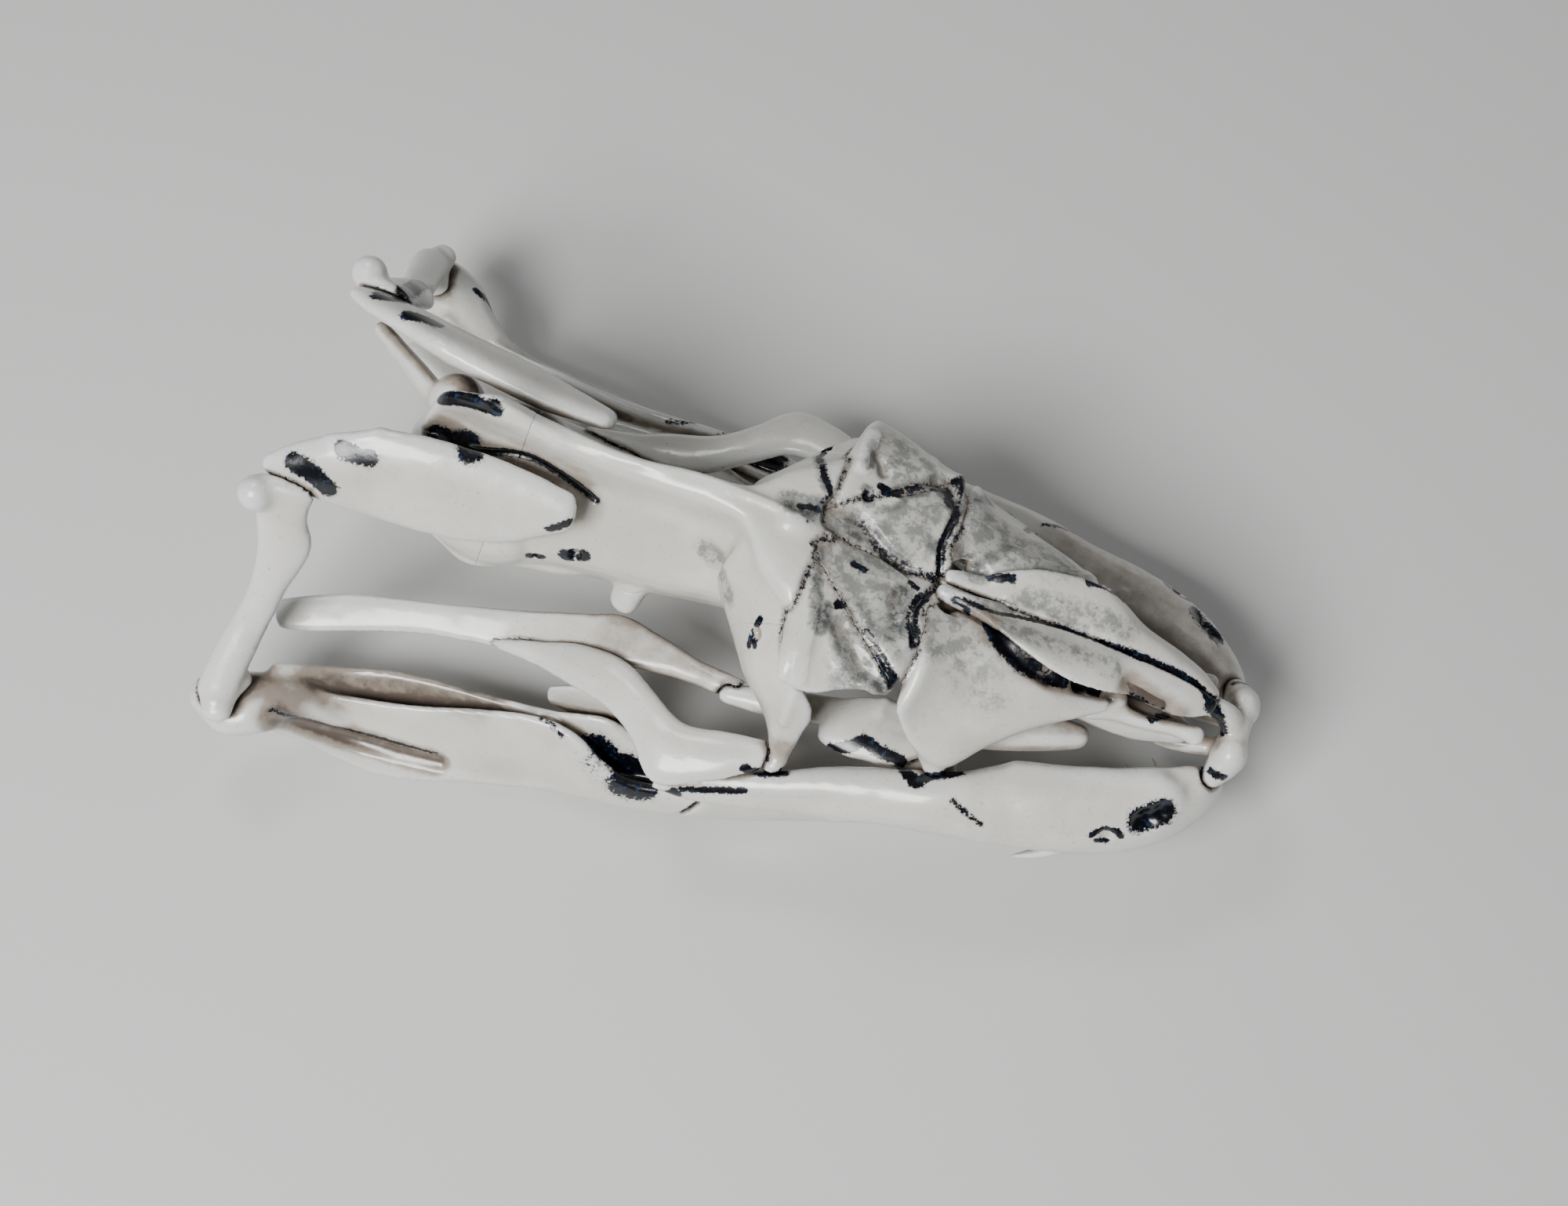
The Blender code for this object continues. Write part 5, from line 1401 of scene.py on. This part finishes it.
def bone_paint():
    """Glossy ivory paint with painted brown-grey shade in the hollows, a painted highlight on the rims, grey
    stippled roof partly painted as shade, and blue-black wash.
    """
    material = bpy.data.materials.new("bone_paint")
    material.use_nodes = True
    nodes, links = material.node_tree.nodes, material.node_tree.links
    shader = nodes["Principled BSDF"]

    def attribute(name):
        node = nodes.new("ShaderNodeAttribute")
        node.attribute_name = name
        return node.outputs["Fac"]

    def grain(per_mm, detail, roughness):
        node = nodes.new("ShaderNodeTexNoise")
        node.inputs["Scale"].default_value = per_mm * 1000
        node.inputs["Detail"].default_value = detail
        node.inputs["Roughness"].default_value = roughness
        links.new(coordinates.outputs["Object"], node.inputs["Vector"])
        return node.outputs["Fac"]

    def sums(operation, first, second, third=None):
        node = nodes.new("ShaderNodeMath")
        node.operation = operation
        for at, value in enumerate((first, second, third)):
            if isinstance(value, (int, float)):
                node.inputs[at].default_value = value
            elif value is not None:
                links.new(value, node.inputs[at])
        return node.outputs[0]

    def stepped(value, low, high, to_low=0.0, to_high=1.0):
        node = nodes.new("ShaderNodeMapRange")
        node.interpolation_type = "SMOOTHSTEP"
        node.inputs["From Min"].default_value = low
        node.inputs["From Max"].default_value = high
        node.inputs["To Min"].default_value = to_low
        node.inputs["To Max"].default_value = to_high
        links.new(value, node.inputs["Value"])
        return node.outputs["Result"]

    def mixed(share, first, second):
        node = nodes.new("ShaderNodeMix")
        node.data_type = "RGBA"
        node.clamp_factor = True
        links.new(share, node.inputs["Factor"])
        for socket, value in ((node.inputs["A"], first), (node.inputs["B"], second)):
            if isinstance(value, tuple):
                socket.default_value = (*value, 1.0)
            else:
                links.new(value, socket)
        return node.outputs["Result"]

    coordinates = nodes.new("ShaderNodeTexCoord")
    broad = grain(0.09, 4, 0.55)
    middle = grain(0.55, 5, 0.6)
    fine = grain(2.4, 6, 0.65)
    speck = grain(5.5, 3, 0.6)
    streaks = grain(1.1, 5, 0.7)

    ink = attribute("ink")
    shade = attribute("shade")
    rim = attribute("rim")
    mottle = attribute("mottle")

    ivory = mixed(stepped(broad, 0.35, 0.66), IVORY, DULL_IVORY)
    # Painted highlight: convex rims turn bluish white
    ivory = mixed(sums("MULTIPLY", rim, 0.8), ivory, RIM_HIGHLIGHT)
    # Grey stippled paint, which also stands for painted shade in the roof's hollows and on the far side
    veins = stepped(sums("MULTIPLY_ADD", fine, 0.45, middle), 0.62, 0.86)
    grey = sums("MULTIPLY", mottle, sums("MULTIPLY_ADD", veins, 0.6, 0.4))
    ivory = mixed(stepped(grey, 0.0, 0.4, 0.0, 0.85), ivory, OLIVE)
    ivory = mixed(stepped(grey, 0.35, 0.9, 0.0, 0.9), ivory, DARK_OLIVE)
    # Painted shade: hollows and hidden places turn brown, then dark brown
    depth = sums("MULTIPLY", shade, stepped(middle, 0.2, 0.75, 0.75, 1.25))
    hollow = mixed(stepped(depth, 0.06, 0.5, 0.0, 0.85), ivory, BROWN)
    hollow = mixed(stepped(depth, 0.5, 1.0, 0.0, 0.85), hollow, DARK_BROWN)
    ragged = sums("ADD", sums("MULTIPLY_ADD", fine, 1.3, ink), sums("MULTIPLY", streaks, 0.8))
    smear = stepped(ragged, 1.15, 1.5, 0.0, 0.55)
    coated = stepped(ragged, 1.42, 1.52)
    washed = mixed(smear, hollow, SMEAR)
    wash = mixed(stepped(streaks, 0.54, 0.68), BLACK_WASH, NAVY_WASH)
    links.new(mixed(coated, washed, wash), shader.inputs["Base Color"])

    roughness = sums("MULTIPLY_ADD", middle, 0.16, 0.24)
    roughness = sums("MULTIPLY_ADD", mottle, 0.14, roughness)
    roughness = sums("MULTIPLY_ADD", coated, -0.08, roughness)
    links.new(roughness, shader.inputs["Roughness"])

    height = sums("MULTIPLY_ADD", middle, 0.5, sums("MULTIPLY", fine, 0.16))
    pores = sums("MULTIPLY", sums("MULTIPLY_ADD", mottle, 0.55, 0.03), sums("ADD", fine, speck))
    height = sums("ADD", height, pores)
    height = sums("MULTIPLY_ADD", coated, 0.35, height)
    bump = nodes.new("ShaderNodeBump")
    bump.inputs["Strength"].default_value = 0.5
    bump.inputs["Distance"].default_value = 0.18 * MM
    links.new(height, bump.inputs["Height"])
    links.new(bump.outputs["Normal"], shader.inputs["Normal"])

    links.new(sums("MULTIPLY_ADD", coated, -0.3, 0.45), shader.inputs["Coat Weight"])
    shader.inputs["Coat Roughness"].default_value = 0.12
    shader.inputs["Subsurface Weight"].default_value = 0.06
    shader.inputs["Subsurface Scale"].default_value = 0.5 * MM
    return material


def finish_bone(body, paint_material):
    """Moves a bone onto the frame, and lets it stand for its node."""
    node = body.name.removesuffix("_bone")
    points = points_of(body.data)
    points += (-MIDDLE, 0.0, -FLOOR)
    set_points(body.data, points)
    body.data.name = body.name
    body.data.materials.clear()
    body.data.materials.append(paint_material)
    body.data.shade_smooth()
    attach(body, "root")
    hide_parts(node)


def behind_pixels(pixels, solids):
    """The places on the solids that the photograph shows at these pixels, to 0.1 mm."""
    right, up, back = view_axes()
    eye = eye_place(right, up, back)
    focal = CAMERA_LENS / SENSOR_WIDTH * PHOTO_SIZE[0]
    places = []
    for x, y in pixels:
        sideways = right * ((x - PHOTO_SIZE[0] / 2) / focal)
        downwards = up * ((y - PHOTO_SIZE[1] / 2) / focal)
        found = solids.ray_cast(eye, sideways - downwards - back)
        if found[0] is not None:
            places.append([round(c, 1) for c in found[0]])
    return places


def bake_marks(tree):
    """The marks laid down on the bones once, with the unseen side's share mirrored."""
    solids = tree_of(frame["nodes"].values(), (MIDDLE, 0, FLOOR))
    tables = {"strokes": STROKES, "relief": RELIEF, "pits": PITS, "patches": GREY_PAINT_AND_SHADE, "hollows": PAINTED_SHADE}
    marks = {}
    for kind, rows in tables.items():
        marks[kind] = []
        for first, second, pixels in rows.values():
            places = laid_down(behind_pixels(pixels, solids), tree)
            marks[kind].append((first, second, places))
            if kind in ("strokes", "pits") and places[:, 1].max() < OFF_MIDLINE:
                marks[kind].append((first, second, places * (1, -1, 1)))
    return marks


def make_floor():
    """A plain pale floor with a little tooth."""
    mesh = bpy.data.meshes.new("floor")
    corners = [(x * FLOOR_HALF, y * FLOOR_HALF, 0) for x, y in ((-1, -1), (1, -1), (1, 1), (-1, 1))]
    mesh.from_pydata(corners, [], [(0, 1, 2, 3)])
    floor = placed("floor", mesh)
    material = bpy.data.materials.new("pale_floor")
    material.use_nodes = True
    nodes, links = material.node_tree.nodes, material.node_tree.links
    shader = nodes["Principled BSDF"]
    grain = nodes.new("ShaderNodeTexNoise")
    grain.inputs["Scale"].default_value = 900
    bump = nodes.new("ShaderNodeBump")
    bump.inputs["Strength"].default_value = 0.1
    bump.inputs["Distance"].default_value = 0.2 * MM
    links.new(grain.outputs["Fac"], bump.inputs["Height"])
    links.new(bump.outputs["Normal"], shader.inputs["Normal"])
    shader.inputs["Base Color"].default_value = (*FLOOR_PAINT, 1)
    shader.inputs["Roughness"].default_value = 0.85
    mesh.materials.append(material)


def make_lights():
    """A soft key from above on the right, a low fill, a small window and a pale surround."""
    for name, place, size, power in LAMPS:
        lamp = bpy.data.lights.new(name, "AREA")
        lamp.size = size
        lamp.energy = power
        item = placed(name, lamp)
        item.location = place
        way = Vector(LAMPS_FACE) - Vector(place)
        item.rotation_euler = way.to_track_quat("-Z", "Y").to_euler()
    world = bpy.data.worlds.new("studio")
    world.use_nodes = True
    background = world.node_tree.nodes["Background"]
    background.inputs["Color"].default_value = (*SURROUND, 1)
    background.inputs["Strength"].default_value = SURROUND_STRENGTH
    bpy.context.scene.world = world


def view_axes():
    """The photograph's directions right, up and back to the eye."""
    turn, raised, roll = (math.radians(a) for a in (CAMERA_TURN, CAMERA_RAISED, CAMERA_ROLL))
    back = Vector((math.sin(turn) * math.cos(raised), -math.cos(turn) * math.cos(raised), math.sin(raised)))
    level = Vector((math.cos(turn), math.sin(turn), 0))
    rising = back.cross(level)
    right = level * math.cos(roll) + rising * math.sin(roll)
    up = rising * math.cos(roll) - level * math.sin(roll)
    return right, up, back


def eye_place(right, up, back):
    """Where the photograph was taken from, in the stations' frame."""
    offset_right, offset_up, distance = CAMERA_OFFSETS
    return right * offset_right + up * offset_up + back * distance


def make_camera():
    """The photograph's view, fitted to paired places on the skull's two sides."""
    right, up, back = view_axes()
    eye = (eye_place(right, up, back) + Vector((-MIDDLE, 0, -FLOOR))) * MM
    lens = bpy.data.cameras.new("camera")
    lens.sensor_fit = "HORIZONTAL"
    lens.sensor_width = SENSOR_WIDTH
    lens.lens = CAMERA_LENS
    lens.clip_start = 0.001
    camera = placed("camera", lens)
    camera.matrix_world = Matrix((
        (right.x, up.x, back.x, eye.x),
        (right.y, up.y, back.y, eye.y),
        (right.z, up.z, back.z, eye.z),
        (0, 0, 0, 1),
    ))
    bpy.context.scene.camera = camera


def main():
    make_camera()
    make_lights()
    make_floor()

    parts = sorted([*frontal(), prefrontal()], key=lambda part: ROOF.index(kind_of(part.name)))
    whole = braincase_with_roof(parts)
    remeshed(whole, 5)
    snout = premaxilla()
    paired = [
        nasal(),
        vomer(),
        septomaxilla(),
        maxilla(),
        palatine(),
        pterygoid(),
        ectopterygoid(),
        supratemporal(),
        quadrate(),
        compound_bone(),
        coronoid(),
        dentary(),
    ]
    single = [whole, snout]
    part_neighbours({kind_of(bone.name): bone for bone in single + paired})
    for body in single + paired:
        keep_largest(body)
        remeshed(body, 4)
        keep_largest(body)

    bones = [*single]
    for body in paired:
        name = body.name
        twin = mirrored(body, name.replace("_right", "_left"))
        if name in TEETH:
            TEETH[twin.name] = mirrored(TEETH[name], twin.name + "_teeth")
        bones += [body, twin]
    marks = bake_marks(tree_of(bones))
    for body in bones:
        carve(body, marks)
    bones += part_whole(whole, parts)
    for body in bones:
        if body.name in TEETH:
            combine(body, [TEETH[body.name]], "UNION")
            keep_largest(body)
    everything = tree_of(bones)
    trees = {}
    for body in bones:
        points = points_of(body.data)
        trees[body.name] = (tree_of([body]), points.min(axis=0), points.max(axis=0))
    for body in bones:
        paint(body, marks, everything, trees)
    paint_material = bone_paint()
    for body in bones:
        finish_bone(body, paint_material)


main()
